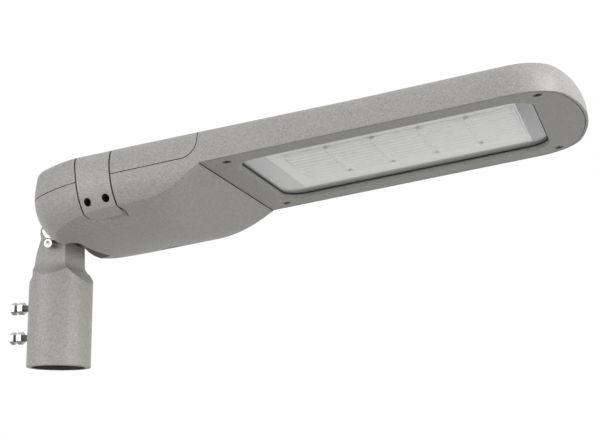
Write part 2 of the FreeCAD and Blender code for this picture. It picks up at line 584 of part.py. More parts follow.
def bezelFrame():
    inset = s["rimWidth"] + s["bezelGap"]
    plate = planSlab(inset, 0, s["bezelThick"])
    plate = plate.common(box(-s["bezelRear"], wide, -wide, wide, -wide, wide))
    posts = [rod(s["retainerPost"] / 2, vector(x, y, s["bezelThick"] / 2), vector(x, y, retainerLevel))
             for x, y in retainerPoints]
    plate = plate.fuse(posts)
    window = planProfile(windowCorners(0, 0, 0, 0), -past, s["bezelThick"] + past)
    low = roundedFace(windowCorners(0, s["bevelRear"], s["bevelSide"], s["bevelTip"]),
                      lambda p: vector(p.x, p.y, 0)).OuterWire
    high = roundedFace(windowCorners(0, 0, 0, 0),
                       lambda p: vector(p.x, p.y, s["bevelDepth"])).OuterWire
    bevel = Part.makeLoft([low, high], True, True)
    holes = [window, bevel]
    for x, y in bezelPoints:
        holes.append(rod(s["bezelBore"] / 2, vector(x, y, -past), vector(x, y, s["bezelThick"] + past)))
        holes.append(rod(s["bezelSink"] / 2, vector(x, y, -past), vector(x, y, s["bezelSinkDepth"])))
    for x, y in retainerPoints:
        holes.append(rod(s["retainerScrew"] / 2 + s["threadGap"],
                         vector(x, y, plateLevel - s["retainerScrewLength"] - s["tapSpare"] / 2),
                         vector(x, y, plateLevel)))
    return plate.cut(holes)


def bezelScrews():
    screws = []
    for x, y in bezelPoints:
        low = s["bezelSinkDepth"] - s["bezelHeadHeight"]
        head = rod(s["bezelHead"] / 2, vector(x, y, low), vector(x, y, s["bezelSinkDepth"]))
        shank = rod(s["bezelShank"] / 2, vector(x, y, s["bezelSinkDepth"]),
                    vector(x, y, s["bezelSinkDepth"] + s["bezelShankLength"]))
        key = hexagon(s["socketHex"], vector(x, y, low + s["bezelKeyDepth"]), vector(x, y, low - s["bezelKeyDepth"]))
        screws.append(head.fuse(shank).cut(key))
    return Part.makeCompound(screws)


def bezelSeal():
    outer = s["rimWidth"] + s["bezelGap"] + s["bezelSealInset"]
    inner = outer + s["bezelSealWidth"]
    rear = s["bezelRear"] - s["bezelSealInset"]
    ring = planSlab(outer, s["bezelThick"], ledgeLevel).common(box(-rear, wide, -wide, wide, -wide, wide))
    core = planSlab(inner, 0, wide).common(
        box(-rear + s["bezelSealWidth"], wide, -wide, wide, -wide, wide))
    ring = ring.cut(core)
    for x, y in bezelPoints:
        ring = ring.cut(rod(s["bezelShank"] / 2 + s["boltGap"], vector(x, y, 0), vector(x, y, ledgeLevel)))
    return ring


def sunkScrews(points, level, shank, headWidth, length):
    # countersunk screws with the head down, flush with the face at level
    screws = []
    for x, y in points:
        sink = (headWidth - shank) / 2
        head = Part.makeCone(headWidth / 2, shank / 2, sink, vector(x, y, level), zAxis)
        body = rod(shank / 2, vector(x, y, level), vector(x, y, level + length))
        screws.append(head.fuse(body))
    return Part.makeCompound(screws)


def retainerScrews():
    # driven from the chamber side, so the heads face up
    screws = sunkScrews(retainerPoints, 0, s["retainerScrew"], s["retainerHead"], s["retainerScrewLength"])
    turned = screws.mirror(vector(0, 0, 0), zAxis)
    turned.translate(vector(0, 0, plateLevel))
    return turned


def panScrews(points, level, shank, headWidth, headHeight, length, up):
    # cheese head screws: up is +1 where the head lies above the level
    screws = []
    for x, y in points:
        head = rod(headWidth / 2, vector(x, y, level), vector(x, y, level + up * headHeight))
        body = rod(shank / 2, vector(x, y, level - up * length), vector(x, y, level))
        screws.append(head.fuse(body))
    return Part.makeCompound(screws)


# ---------------------------------------------------------------- spigot and its screws
def poleSpigot():
    outer = s["socketBore"] / 2 + s["socketWall"]
    clear = outer + margin
    pivot = s["pivotHeight"]
    foot = s["neckFoot"]
    column = rod(outer, vector(0, 0, 0), vector(0, 0, pivot + outer))
    mouth = [e for e in column.Edges if e.BoundBox.ZMax < touch]
    column = column.makeFillet(s["tubeEdge"], mouth)
    side = sideProfile([
        (-clear, 0, 0), (clear, 0, 0), (clear, foot - clear + s["neckFront"], 0),
        (s["neckFront"], foot, s["footBlend"]), (s["eyeRadius"], pivot, 0), (-s["neckTop"], pivot, 0),
        (-s["neckMid"], s["neckMidLevel"], 2 * outer), (-s["neckStep"], s["stepHigh"], s["stepBlend"]),
        (-clear, s["stepLow"] - clear + outer, 0)], -clear, clear)
    eye = rod(s["eyeRadius"], vector(0, -clear, pivot), vector(0, clear, pivot))
    flare = foot - clear + s["neckHalf"]
    front = frontProfile([
        (-clear, 0, 0), (clear, 0, 0), (clear, flare, 0), (s["neckHalf"], foot, s["footBlend"]),
        (s["neckHalf"], pivot + clear, 0), (-s["neckHalf"], pivot + clear, 0),
        (-s["neckHalf"], foot, s["footBlend"]), (-clear, flare, 0)], -clear, clear)
    body = side.fuse(eye).common(front).common(column)
    hollowX = s["neckHollowX"]
    hollowY = s["neckHollowHalf"]
    holes = [
        rod(s["socketBore"] / 2, vector(0, 0, -past), vector(0, 0, s["socketDepth"])),
        rod(s["wireBore"] / 2, vector(0, 0, 0), vector(0, 0, foot)),
        planProfile(roundedRectangle(-hollowX, hollowX, -hollowY, hollowY, s["hollowCorner"]),
                    s["hollowFloor"], pivot + outer),
        box(-outer, outer, -hollowY, hollowY, s["forkFoot"], pivot + outer),
        rod(s["tiltBolt"] / 2 + s["tiltFit"], vector(0, -outer, pivot), vector(0, outer, pivot)),
        rod(s["lockScrew"] / 2 + s["threadGap"], vector(0, -outer, lockLevel), vector(0, 0, lockLevel))]
    for level in (s["clampLow"], s["clampHigh"]):
        holes.append(rod(s["setScrew"] / 2 + s["threadGap"], vector(-clear, 0, level),
                         vector(0, 0, level)))
    return body.cut(holes)


def setScrew(tip, seat, width, flats, headHeight):
    # hexagon screw from its tip to the underside of its head
    along = (seat - tip).normalize()
    shank = rod(width / 2, tip, seat)
    shank = shank.makeChamfer(s["hexChamfer"], [e for e in shank.Edges
                                                if e.BoundBox.Center.distanceToPoint(tip) < touch
                                                and isinstance(e.Curve, Part.Circle)])
    return shank.fuse(hexagon(flats, seat, seat + along * headHeight))


def lockNut(start, along, width, flats, height):
    end = start + along * height
    return hexagon(flats, start, end).cut(rod(width / 2 + s["threadGap"], start - along, end + along))


def clampScrews():
    return Part.makeCompound([
        setScrew(vector(-s["clampTip"], 0, level), vector(-s["clampReach"], 0, level),
                 s["setScrew"], s["setHex"], s["setHeadHeight"])
        for level in (s["clampLow"], s["clampHigh"])])


def clampNuts():
    return Part.makeCompound([
        lockNut(vector(-s["clampNutReach"], 0, level), vector(-1, 0, 0),
                s["setScrew"], s["setHex"], s["setNutHeight"])
        for level in (s["clampLow"], s["clampHigh"])])


def lockScrew():
    reach = s["neckHalf"] + s["lockNutHeight"] + s["lockSpare"]
    return setScrew(vector(0, -s["earOuter"] - s["lockTipGap"], lockLevel), vector(0, -reach, lockLevel),
                    s["lockScrew"], s["lockHex"], s["lockHeadHeight"])


def tiltLockNut():
    return lockNut(vector(0, -s["neckHalf"], lockLevel), vector(0, -1, 0),
                   s["lockScrew"], s["lockHex"], s["lockNutHeight"])


def tiltNut():
    start = vector(0, s["neckHalf"] + s["washerThick"], s["pivotHeight"])
    end = start + yAxis * s["tiltNutHeight"]
    return hexagon(s["tiltHex"], start, end).cut(
        rod(s["tiltBolt"] / 2 + s["threadGap"], start - yAxis, end + yAxis))


def tiltBolt():
    under = vector(0, -s["neckHalf"] - s["washerThick"], s["pivotHeight"])
    end = vector(0, s["neckHalf"] + s["washerThick"] + s["tiltNutHeight"] + s["tiltBoltTail"],
                 s["pivotHeight"])
    return rod(s["tiltBolt"] / 2, under, end).fuse(
        hexagon(s["tiltHex"], under, under - yAxis * s["tiltHeadHeight"]))


def tiltWashers():
    washers = []
    for side in (-1, 1):
        washers.append(tube(s["washerOuter"] / 2, s["tiltBolt"] / 2 + s["boltGap"],
                            vector(0, side * s["neckHalf"], s["pivotHeight"]),
                            vector(0, side * (s["neckHalf"] + s["washerThick"]), s["pivotHeight"])))
    return Part.makeCompound(washers)


# ---------------------------------------------------------------- small turned pieces
def cableGland():
    wet = -s["pocketFront"]
    level = -s["glandDrop"]
    body = hexagon(s["glandHex"], vector(wet, 0, level), vector(wet - s["glandHexLength"], 0, level))
    body = body.fuse(rod(s["glandDome"] / 2, vector(wet - s["glandHexLength"], 0, level),
                         vector(wet - s["glandHexLength"] - s["glandDomeLength"], 0, level)))
    body = body.fuse(rod(s["glandThread"] / 2, vector(wet, 0, level),
                         vector(wet + s["shellWall"] + s["glandTail"], 0, level)))
    return body.cut(rod(s["glandBore"] / 2, vector(wet - wide, 0, level), vector(wet + wide, 0, level)))


def glandNut():
    dry = -s["pocketFront"] + s["shellWall"]
    level = -s["glandDrop"]
    end = vector(dry + s["glandNutLength"], 0, level)
    return hexagon(s["glandNutHex"], vector(dry, 0, level), end).cut(
        rod(s["glandThread"] / 2 + s["threadGap"], vector(dry - 1, 0, level), end + xAxis))


def breatherValve():
    wet = -s["pocketFront"]
    level = -s["glandDrop"]
    middle = s["valveSide"]
    cap = rod(s["valveCap"] / 2, vector(wet, middle, level), vector(wet - s["valveCapLength"], middle, level))
    cap = cap.makeChamfer(s["hexChamfer"], [e for e in cap.Edges
                                            if e.BoundBox.XMax < wet - s["valveCapLength"] + touch])
    return cap.fuse(rod(s["valveThread"] / 2, vector(wet, middle, level),
                        vector(wet + s["shellWall"] + s["valveTail"], middle, level)))


def wireGrommet():
    rear = vector(-s["coverFront"] - s["grommetLip"], s["grommetSide"], s["grommetHeight"])
    front = vector(-s["chamberRear"] + s["grommetLip"], s["grommetSide"], s["grommetHeight"])
    lip = xAxis * s["grommetLip"]
    body = rod(s["grommetNeck"] / 2, rear, front)
    body = body.fuse(rod(s["grommetFlange"] / 2, rear, rear + lip))
    body = body.fuse(rod(s["grommetFlange"] / 2, front - lip, front))
    return body.cut(rod(s["grommetBore"] / 2, rear - lip, front + lip))


def cordClamp():
    half = s["clampSpan"] / 2
    foot = trayTop + s["clampFoot"]
    top = trayTop + s["clampHeight"]
    bore = s["clampBore"] / 2
    wall = bore + s["clampWall"]
    edge = s["clampEdge"]
    crown = edge + s["clampRoof"]
    saddle = frontProfile([
        (-half, trayTop, 0), (half, trayTop, 0), (half, foot, edge), (wall, foot, edge), (wall, top, crown),
        (-wall, top, crown), (-wall, foot, edge), (-half, foot, edge)],
        -s["clampAft"], -s["clampAft"] + s["clampLength"])
    saddle = saddle.cut(frontProfile([
        (-bore, trayTop - past, 0), (bore, trayTop - past, 0), (bore, top - s["clampRoof"], crown),
        (-bore, top - s["clampRoof"], crown)], -wide, wide))
    middle = -s["clampAft"] + s["clampLength"] / 2
    for side in (-1, 1):
        saddle = saddle.cut(rod(s["trayScrew"] / 2 + s["threadGap"],
                                vector(middle, side * s["clampScrewSide"], trayTop - past),
                                vector(middle, side * s["clampScrewSide"], top)))
    return saddle


clampPoints = [(-s["clampAft"] + s["clampLength"] / 2, side * s["clampScrewSide"]) for side in (-1, 1)]
driverPoints = [(-s["driverRear"] - s["driverEar"] / 2 + end * (s["driverLength"] + s["driverEar"]),
                 s["driverInner"] + s["driverWidth"] / 2) for end in (0, 1)]

codePieces = [
    ("main_housing", mainHousing(), headFrame),
    ("gear_cover", gearCover(), headFrame),
    ("cover_gasket", coverGasket(), headFrame),
    ("clasp_band", claspBand(), headFrame),
    ("clasp_screws", claspScrews(), headFrame),
    ("bezel_frame", bezelFrame(), headFrame),
    ("bezel_screws", bezelScrews(), headFrame),
    ("bezel_gasket", bezelSeal(), headFrame),
    ("retainer_screws", retainerScrews(), headFrame),
    ("plate_screws", sunkScrews(platePoints, plateLevel, s["plateScrew"], s["plateHead"],
                                s["plateScrewLength"]), headFrame),
    ("module_screws", panScrews(modulePoints, plateLevel - s["boardThick"], s["moduleScrew"],
                                s["moduleHead"], s["moduleHeadHeight"], s["moduleScrewLength"], -1),
     headFrame),
    ("tray_screws", panScrews(trayPoints, trayTop, s["trayScrew"], s["trayHead"],
                              s["trayHeadHeight"], s["trayScrewLength"], 1), headFrame),
    ("driver_screws", panScrews(driverPoints, trayTop + s["driverEarThick"], s["trayScrew"],
                                s["trayHead"], s["trayHeadHeight"], s["trayScrewLength"], 1), headFrame),
    ("clamp_saddle", cordClamp(), headFrame),
    ("clamp_saddle_screws", panScrews(clampPoints, trayTop + s["clampFoot"], s["trayScrew"],
                                      s["trayHead"], s["trayHeadHeight"], s["trayScrewLength"], 1),
     headFrame),
    ("earth_screw", panScrews([(-s["earthAft"], s["earthSide"])], s["pocketTop"] + s["shellWall"],
                              s["earthScrew"], s["earthHead"], s["earthHeadHeight"],
                              s["earthLength"], 1), headFrame),
    ("cable_gland", cableGland(), headFrame),
    ("gland_nut", glandNut(), headFrame),
    ("breather_valve", breatherValve(), headFrame),
    ("wire_grommet", wireGrommet(), headFrame),
    ("pole_spigot", poleSpigot(), FreeCAD.Placement()),
    ("clamp_screws", clampScrews(), FreeCAD.Placement()),
    ("clamp_nuts", clampNuts(), FreeCAD.Placement()),
    ("lock_screw", lockScrew(), FreeCAD.Placement()),
    ("lock_nut", tiltLockNut(), FreeCAD.Placement()),
    ("tilt_bolt", tiltBolt(), FreeCAD.Placement()),
    ("tilt_nut", tiltNut(), FreeCAD.Placement()),
    ("tilt_washers", tiltWashers(), FreeCAD.Placement()),
]
subParts = []
for label, shape, place in codePieces:
    piece = doc.addObject("Part::Feature", label)
    piece.Label = label
    piece.Shape = shape.removeSplitter()
    piece.Placement = place
    subParts.append(piece)


# ---------------------------------------------------------------- sketched plates
def originPlane(body, role):
    return next(f for f in body.Origin.OriginFeatures if f.Role == role)


def newSketch(body, name, level):
    sketch = body.newObject("Sketcher::SketchObject", name)
    sketch.AttachmentSupport = (originPlane(body, "XY_Plane"), [""])
    sketch.MapMode = "FlatFace"
    sketch.setExpression("AttachmentOffset.Base.z", level)
    return sketch


def bind(sketch, kind, places, start, formula):
    index = sketch.addConstraint(Sketcher.Constraint(kind, *places, start))
    sketch.setExpression("Constraints[%d]" % index, formula)


def drawRectangle(sketch, rear, tip, near, far):
    first = sketch.GeometryCount
    points = [vector(-20, -10, 0), vector(30, -10, 0), vector(30, 12, 0), vector(-20, 12, 0)]
    for k in range(4):
        sketch.addGeometry(Part.LineSegment(points[k], points[(k + 1) % 4]), False)
    for k in range(4):
        sketch.addConstraint(Sketcher.Constraint("Coincident", first + k, 2, first + (k + 1) % 4, 1))
    for k in (0, 2):
        sketch.addConstraint(Sketcher.Constraint("Horizontal", first + k))
    for k in (1, 3):
        sketch.addConstraint(Sketcher.Constraint("Vertical", first + k))
    bind(sketch, "DistanceX", (-1, 1, first, 1), -20, rear)
    bind(sketch, "DistanceX", (-1, 1, first + 1, 1), 30, tip)
    bind(sketch, "DistanceY", (-1, 1, first, 1), -10, near)
    bind(sketch, "DistanceY", (-1, 1, first + 2, 1), 12, far)


def drawCircle(sketch, along, side, radius):
    index = sketch.GeometryCount
    sketch.addGeometry(Part.Circle(vector(5, 5, 0), zAxis, 2), False)
    bind(sketch, "Radius", (index,), 2, radius)
    bind(sketch, "DistanceX", (-1, 1, index, 3), 5, along)
    bind(sketch, "DistanceY", (-1, 1, index, 3), 5, side)


def newBody(label):
    body = doc.addObject("PartDesign::Body", label)
    body.Label = label
    body.setExpression("Placement.Rotation.Axis.y", "1")
    body.setExpression("Placement.Rotation.Axis.z", "0")
    body.setExpression("Placement.Rotation.Angle", "-Sizes.headTilt")
    body.setExpression("Placement.Base.x", headX)
    body.setExpression("Placement.Base.z", headZ)
    subParts.append(body)
    return body


def padOn(body, sketch, length):
    pad = body.newObject("PartDesign::Pad", sketch.Name + "Pad")
    pad.Profile = sketch
    pad.setExpression("Length", length)
    doc.recompute()
    return pad


def cutOn(body, sketch, length):
    # cut upwards from the sketch plane
    pocket = body.newObject("PartDesign::Pocket", sketch.Name + "Pocket")
    pocket.Profile = sketch
    pocket.Reversed = True
    pocket.setExpression("Length", length)
    before = body.Shape.Volume
    doc.recompute()
    if body.Shape.Volume > before - 0.5:
        raise ValueError("nothing was cut from " + body.Label)
    return pocket


def uprightEdges(shape, rear, tip, near, far):
    # the four vertical edges at the corners of a rectangle
    names = []
    for number, edge in enumerate(shape.Edges, 1):
        if edge.BoundBox.ZLength < 0.5 or not isinstance(edge.Curve, Part.Line):
            continue
        at = edge.BoundBox.Center
        if min(abs(at.x - rear), abs(at.x - tip)) < touch and min(abs(at.y - near), abs(at.y - far)) < touch:
            names.append("Edge%d" % number)
    return names


def roundOn(body, feature, corners, radius):
    fillet = body.newObject("PartDesign::Fillet", feature.Name + "Round")
    fillet.Base = (feature, uprightEdges(feature.Shape, *corners))
    fillet.setExpression("Radius", radius)
    doc.recompute()
    return fillet


retainerX = ["(Sizes.windowRear + Sizes.windowTip) / 2 %s" % shift
             for shift in ("- Sizes.retainerPitch", "", "+ Sizes.retainerPitch")]
plateX = ["(Sizes.windowRear + Sizes.windowTip) / 2 %s" % shift
          for shift in ("- Sizes.plateScrewPitch", "", "+ Sizes.plateScrewPitch")]


def windowPlate(label, level, thick, outer, lap):
    # a plate that follows the window outline, wider all round by outer, and with an
    # opening that laps inside the window by lap, or none
    body = newBody(label)
    sketch = newSketch(body, label + "Outline", level)
    drawRectangle(sketch, "Sizes.windowRear - (%s)" % outer, "Sizes.windowTip + %s" % outer,
                  "-Sizes.windowHalf - (%s)" % outer, "Sizes.windowHalf + %s" % outer)
    last = padOn(body, sketch, thick)
    reach = last.Shape.BoundBox
    if lap:
        opening = newSketch(body, label + "Opening", level)
        drawRectangle(opening, "Sizes.windowRear + " + lap, "Sizes.windowTip - " + lap,
                      "-Sizes.windowHalf + " + lap, "Sizes.windowHalf - " + lap)
        last = cutOn(body, opening, thick)
        inner = float(sheet.get(lap.split(".")[1]))
        last = roundOn(body, last, (s["windowRear"] + inner, s["windowTip"] - inner,
                                    -s["windowHalf"] + inner, s["windowHalf"] - inner),
                       "Sizes.windowCorner - " + lap)
    roundOn(body, last, (reach.XMin, reach.XMax, reach.YMin, reach.YMax),
            "Sizes.windowCorner + %s" % outer)
    return body


def circleCut(body, name, level, thick, places, radius):
    sketch = newSketch(body, name, level)
    for along, side in places:
        drawCircle(sketch, along, side, radius)
    return cutOn(body, sketch, thick)


sealLevel = "Sizes.bezelThick"
paneLevel = "Sizes.bezelThick + Sizes.sealThick"
keeperLevel = paneLevel + " + Sizes.glassThick"
spreadLevel = keeperLevel + " + Sizes.retainerHeight"

windowPlate("window_gasket", sealLevel, "Sizes.sealThick", "Sizes.sealOuter", "Sizes.sealLap")
windowPlate("window_glass", paneLevel, "Sizes.glassThick", "Sizes.glassLap", None)
retainer = windowPlate("glass_retainer", keeperLevel, "Sizes.retainerHeight", "Sizes.retainerOuter",
                       "Sizes.retainerLap")
postOut = "Sizes.windowHalf + Sizes.retainerPostOut"
postPlaces = [(x, side) for x in retainerX for side in ("-(%s)" % postOut, postOut)]
postPlaces.append(("Sizes.windowRear - Sizes.retainerPostOut", "0"))
postPlaces.append(("Sizes.windowTip + Sizes.retainerPostOut", "0"))
circleCut(retainer, "retainerHoles", keeperLevel, "Sizes.retainerHeight", postPlaces,
          "Sizes.retainerScrew / 2 + Sizes.threadGap")
circleCut(retainer, "retainerSinks",
          spreadLevel + " - (Sizes.retainerHead - Sizes.retainerScrew) / 2",
          "(Sizes.retainerHead - Sizes.retainerScrew) / 2", postPlaces, "Sizes.retainerHead / 2 + Sizes.sinkGap")

spreader = windowPlate("module_plate", spreadLevel, "Sizes.plateThick", "Sizes.plateLap", None)
plateSides = ("-Sizes.plateScrewSide", "Sizes.plateScrewSide")
platePlaces = [(x, side) for x in plateX for side in plateSides]
circleCut(spreader, "plateHoles", spreadLevel, "Sizes.plateThick", platePlaces,
          "Sizes.plateScrew / 2 + Sizes.threadGap")
circleCut(spreader, "plateSinks", spreadLevel, "(Sizes.plateHead - Sizes.plateScrew) / 2", platePlaces,
          "Sizes.plateHead / 2 + Sizes.sinkGap")
gapPlaces = [("Sizes.moduleStart + %d * Sizes.modulePitch - Sizes.moduleGap / 2" % k, side)
             for k in range(1, modules) for side in ("-Sizes.moduleScrewSide", "Sizes.moduleScrewSide")]
circleCut(spreader, "moduleTaps", spreadLevel, "Sizes.plateThick", gapPlaces,
          "Sizes.moduleScrew / 2 + Sizes.threadGap")

reflector = newBody("reflector_sheet")
sheetLevel = spreadLevel + " - Sizes.sheetThick"
outline = newSketch(reflector, "reflectorOutline", sheetLevel)
drawRectangle(outline, "Sizes.sheetRear", "Sizes.sheetTip", "-Sizes.sheetHalf", "Sizes.sheetHalf")
drawRectangle(outline, "Sizes.moduleStart - Sizes.cutoutGap",
              "Sizes.moduleStart + %d * Sizes.modulePitch - Sizes.moduleGap + Sizes.cutoutGap" % modules,
              "-Sizes.moduleHalf - Sizes.cutoutGap", "Sizes.moduleHalf + Sizes.cutoutGap")
padOn(reflector, outline, "Sizes.sheetThick")

for number in range(modules):
    rear = "Sizes.moduleStart + %d * Sizes.modulePitch" % number
    tip = rear + " + Sizes.modulePitch - Sizes.moduleGap"
    ends = []
    for k in (number, number + 1):
        if 0 < k < modules:
            ends.extend(gapPlaces[2 * (k - 1):2 * k])
    board = newBody("led_board_%d" % (number + 1))
    sketch = newSketch(board, board.Label + "Outline", spreadLevel + " - Sizes.boardThick")
    drawRectangle(sketch, rear, tip, "-Sizes.moduleHalf", "Sizes.moduleHalf")
    padOn(board, sketch, "Sizes.boardThick")
    circleCut(board, board.Label + "Notches", spreadLevel + " - Sizes.boardThick", "Sizes.boardThick",
              ends, "Sizes.moduleScrew / 2 + Sizes.notchGap")
    lens = newBody("lens_plate_%d" % (number + 1))
    lensLevel = spreadLevel + " - Sizes.boardThick - Sizes.lensThick"
    sketch = newSketch(lens, lens.Label + "Outline", lensLevel)
    drawRectangle(sketch, rear + " + Sizes.lensMargin", tip + " - Sizes.lensMargin",
                  "-Sizes.moduleHalf + Sizes.lensMargin", "Sizes.moduleHalf - Sizes.lensMargin")
    padOn(lens, sketch, "Sizes.lensThick")
    circleCut(lens, lens.Label + "Notches", lensLevel, "Sizes.lensThick", ends, "Sizes.moduleNotch / 2")

# ---------------------------------------------------------------- gear on its tray
tray = newBody("gear_tray")
outline = newSketch(tray, "trayOutline", "-Sizes.trayLevel")
drawRectangle(outline, "-Sizes.trayRear", "-Sizes.trayFront", "-Sizes.trayHalf", "Sizes.trayHalf")
padOn(tray, outline, "Sizes.trayThick")
trayPlaces = [(along, side)
              for along in ("-Sizes.trayRear + Sizes.trayScrewInset",
                            "-Sizes.trayFront - Sizes.trayScrewInset")
              for side in ("-Sizes.trayHalf + Sizes.trayScrewInset",
                           "Sizes.trayHalf - Sizes.trayScrewInset")]
trayPlaces.append(("-Sizes.driverRear - Sizes.driverEar / 2", "Sizes.driverInner + Sizes.driverWidth / 2"))
trayPlaces.append(("-Sizes.driverRear + Sizes.driverLength + Sizes.driverEar / 2",
                   "Sizes.driverInner + Sizes.driverWidth / 2"))
for side in ("-Sizes.clampScrewSide", "Sizes.clampScrewSide"):
    trayPlaces.append(("-Sizes.clampAft + Sizes.clampLength / 2", side))
circleCut(tray, "trayHoles", "-Sizes.trayLevel", "Sizes.trayThick", trayPlaces,
          "Sizes.trayScrew / 2 + Sizes.threadGap")

trayFace = "-Sizes.trayLevel + Sizes.trayThick"


def trayBox(label, rear, tip, near, far, height):
    body = newBody(label)
    sketch = newSketch(body, label + "Outline", trayFace)
    drawRectangle(sketch, rear, tip, near, far)
    return body, padOn(body, sketch, height)


driver, block = trayBox("led_driver", "-Sizes.driverRear", "-Sizes.driverRear + Sizes.driverLength",
                        "Sizes.driverInner", "Sizes.driverInner + Sizes.driverWidth", "Sizes.driverHeight")
reach = block.Shape.BoundBox
roundOn(driver, block, (reach.XMin, reach.XMax, reach.YMin, reach.YMax), "Sizes.driverEdge")
ears = newSketch(driver, "driverEars", trayFace)
drawRectangle(ears, "-Sizes.driverRear - Sizes.driverEar",
              "-Sizes.driverRear + Sizes.driverLength + Sizes.driverEar",
              "Sizes.driverInner + Sizes.driverWidth / 2 - Sizes.driverEarHalf",
              "Sizes.driverInner + Sizes.driverWidth / 2 + Sizes.driverEarHalf")
padOn(driver, ears, "Sizes.driverEarThick")
circleCut(driver, "driverHoles", trayFace, "Sizes.driverEarThick", trayPlaces[4:6],
          "Sizes.trayScrew / 2 + Sizes.threadGap")

surge, block = trayBox("surge_protector", "-Sizes.surgeRear", "-Sizes.surgeRear + Sizes.surgeLength",
                       "-Sizes.surgeInner - Sizes.surgeWidth", "-Sizes.surgeInner", "Sizes.surgeHeight")
reach = block.Shape.BoundBox
roundOn(surge, block, (reach.XMin, reach.XMax, reach.YMin, reach.YMax), "Sizes.surgeEdge")

terminal, block = trayBox("terminal_block", "-Sizes.terminalRear",
                          "-Sizes.terminalRear + Sizes.terminalLength",
                          "-Sizes.terminalInner - Sizes.terminalWidth", "-Sizes.terminalInner",
                          "Sizes.terminalHeight")
wellFloor = trayFace + " + Sizes.terminalHeight - Sizes.terminalDepth"
wells = newSketch(terminal, "terminalWells", wellFloor)
drawCircle(wells, "-Sizes.terminalRear + Sizes.terminalLength / Sizes.terminalWays / 2",
           "-Sizes.terminalInner - Sizes.terminalWidth / 2", "Sizes.terminalBore / 2")
well = cutOn(terminal, wells, "Sizes.terminalDepth")
row = terminal.newObject("PartDesign::LinearPattern", "terminalRow")
row.Originals = [well]
row.Direction = (wells, ["H_Axis"])
row.setExpression("Length", "Sizes.terminalLength * (Sizes.terminalWays - 1) / Sizes.terminalWays")
row.setExpression("Occurrences", "Sizes.terminalWays")
terminal.Tip = row
doc.recompute()

# ---------------------------------------------------------------- checks and export
for item in doc.Objects:
    if "Invalid" in item.State or "Error" in item.State:
        raise ValueError("failed object " + item.Label)
for piece in subParts:
    if piece.Shape.isNull() or not piece.Shape.isValid() or not piece.Shape.Solids:
        raise ValueError("bad shape " + piece.Label)
for piece in subParts:
    piece.Shape.exportStep("parts/" + piece.Label + ".step")
    print("%-22s %2d solids %10.1f mm3" % (piece.Label, len(piece.Shape.Solids), piece.Shape.Volume))
print("nodes", len(subParts))
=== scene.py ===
# LED street light head: finishes, lens detail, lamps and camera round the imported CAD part.
# Metres, in the part's own frame: origin at the spigot mouth, z up the spigot, x to the tip.
import math
from functools import partial

import bmesh
import bpy
from mathutils import Matrix, Vector


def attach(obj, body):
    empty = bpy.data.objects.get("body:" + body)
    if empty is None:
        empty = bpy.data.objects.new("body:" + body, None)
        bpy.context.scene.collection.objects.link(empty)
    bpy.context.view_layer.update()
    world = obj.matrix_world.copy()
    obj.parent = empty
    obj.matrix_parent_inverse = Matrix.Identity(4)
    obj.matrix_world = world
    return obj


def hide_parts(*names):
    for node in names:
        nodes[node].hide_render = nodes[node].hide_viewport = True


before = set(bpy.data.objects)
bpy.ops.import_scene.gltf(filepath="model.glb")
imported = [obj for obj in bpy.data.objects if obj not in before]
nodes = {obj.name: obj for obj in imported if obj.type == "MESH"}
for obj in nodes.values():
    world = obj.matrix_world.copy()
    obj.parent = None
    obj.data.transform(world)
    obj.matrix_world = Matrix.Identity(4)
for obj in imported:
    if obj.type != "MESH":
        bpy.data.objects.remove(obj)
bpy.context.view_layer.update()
print("frame loaded,", len(nodes), "nodes")

# the head tilts on its pivot; its LED face is measured from the rear bezel screws
headFrame = {"pivotHeight": 0.158, "tilt": math.radians(-7.5),
             "faceStart": 0.252, "faceLevel": 0.0134}


def feed(tree, node, inputs):
    # an input takes a plain value or another node's socket
    for label, value in inputs.items():
        if isinstance(value, bpy.types.NodeSocket):
            tree.links.new(value, node.inputs[label])
        else:
            node.inputs[label].default_value = value


def put(tree, kind, inputs=None, **settings):
    node = tree.nodes.new(kind)
    for label, value in settings.items():
        setattr(node, label, value)
    feed(tree, node, inputs or {})
    return node


def maths(tree, operation, *values, clamp=False):
    inputs = dict(enumerate(values))
    return put(tree, "ShaderNodeMath", inputs, operation=operation, use_clamp=clamp).outputs[0]


def chain(tree, operation, *values):
    found = values[0]
    for value in values[1:]:
        found = maths(tree, operation, found, value)
    return found


def around(tree, pattern, swing, middle):
    # lets a pattern that averages one half move a middle value up and down
    return maths(tree, "MULTIPLY_ADD", maths(tree, "SUBTRACT", pattern, 0.5), swing, middle)


def distance(tree, first, second):
    squares = [maths(tree, "POWER", value, 2.0) for value in (first, second)]
    return maths(tree, "SQRT", maths(tree, "ADD", *squares))


def spread(tree, value, low, high, newLow=0.0, newHigh=1.0, how="LINEAR"):
    inputs = {0: value, 1: low, 2: high, 3: newLow, 4: newHigh}
    return put(tree, "ShaderNodeMapRange", inputs, interpolation_type=how).outputs[0]


def noise(tree, vector, scale, detail=2.0, roughness=0.5, distortion=0.0):
    return put(tree, "ShaderNodeTexNoise", {"Vector": vector, "Scale": scale, "Detail": detail,
               "Roughness": roughness, "Distortion": distortion}).outputs[0]


def axesOf(tree, vector):
    return put(tree, "ShaderNodeSeparateXYZ", {0: vector}).outputs


def blendColours(tree, share, first, second, how="MIX"):
    inputs = {0: share, 6: first, 7: second}
    return put(tree, "ShaderNodeMix", inputs, data_type="RGBA", blend_type=how).outputs[2]


def shadeBy(tree, colour, shade):
    grey = put(tree, "ShaderNodeCombineColor", {0: shade, 1: shade, 2: shade}).outputs[0]
    return blendColours(tree, 1.0, colour, grey, "MULTIPLY")


def bumpFrom(tree, height, depth, strength=1.0, under=None):
    inputs = {"Height": height, "Distance": depth, "Strength": strength}
    if under is not None:
        inputs["Normal"] = under
    return put(tree, "ShaderNodeBump", inputs).outputs[0]


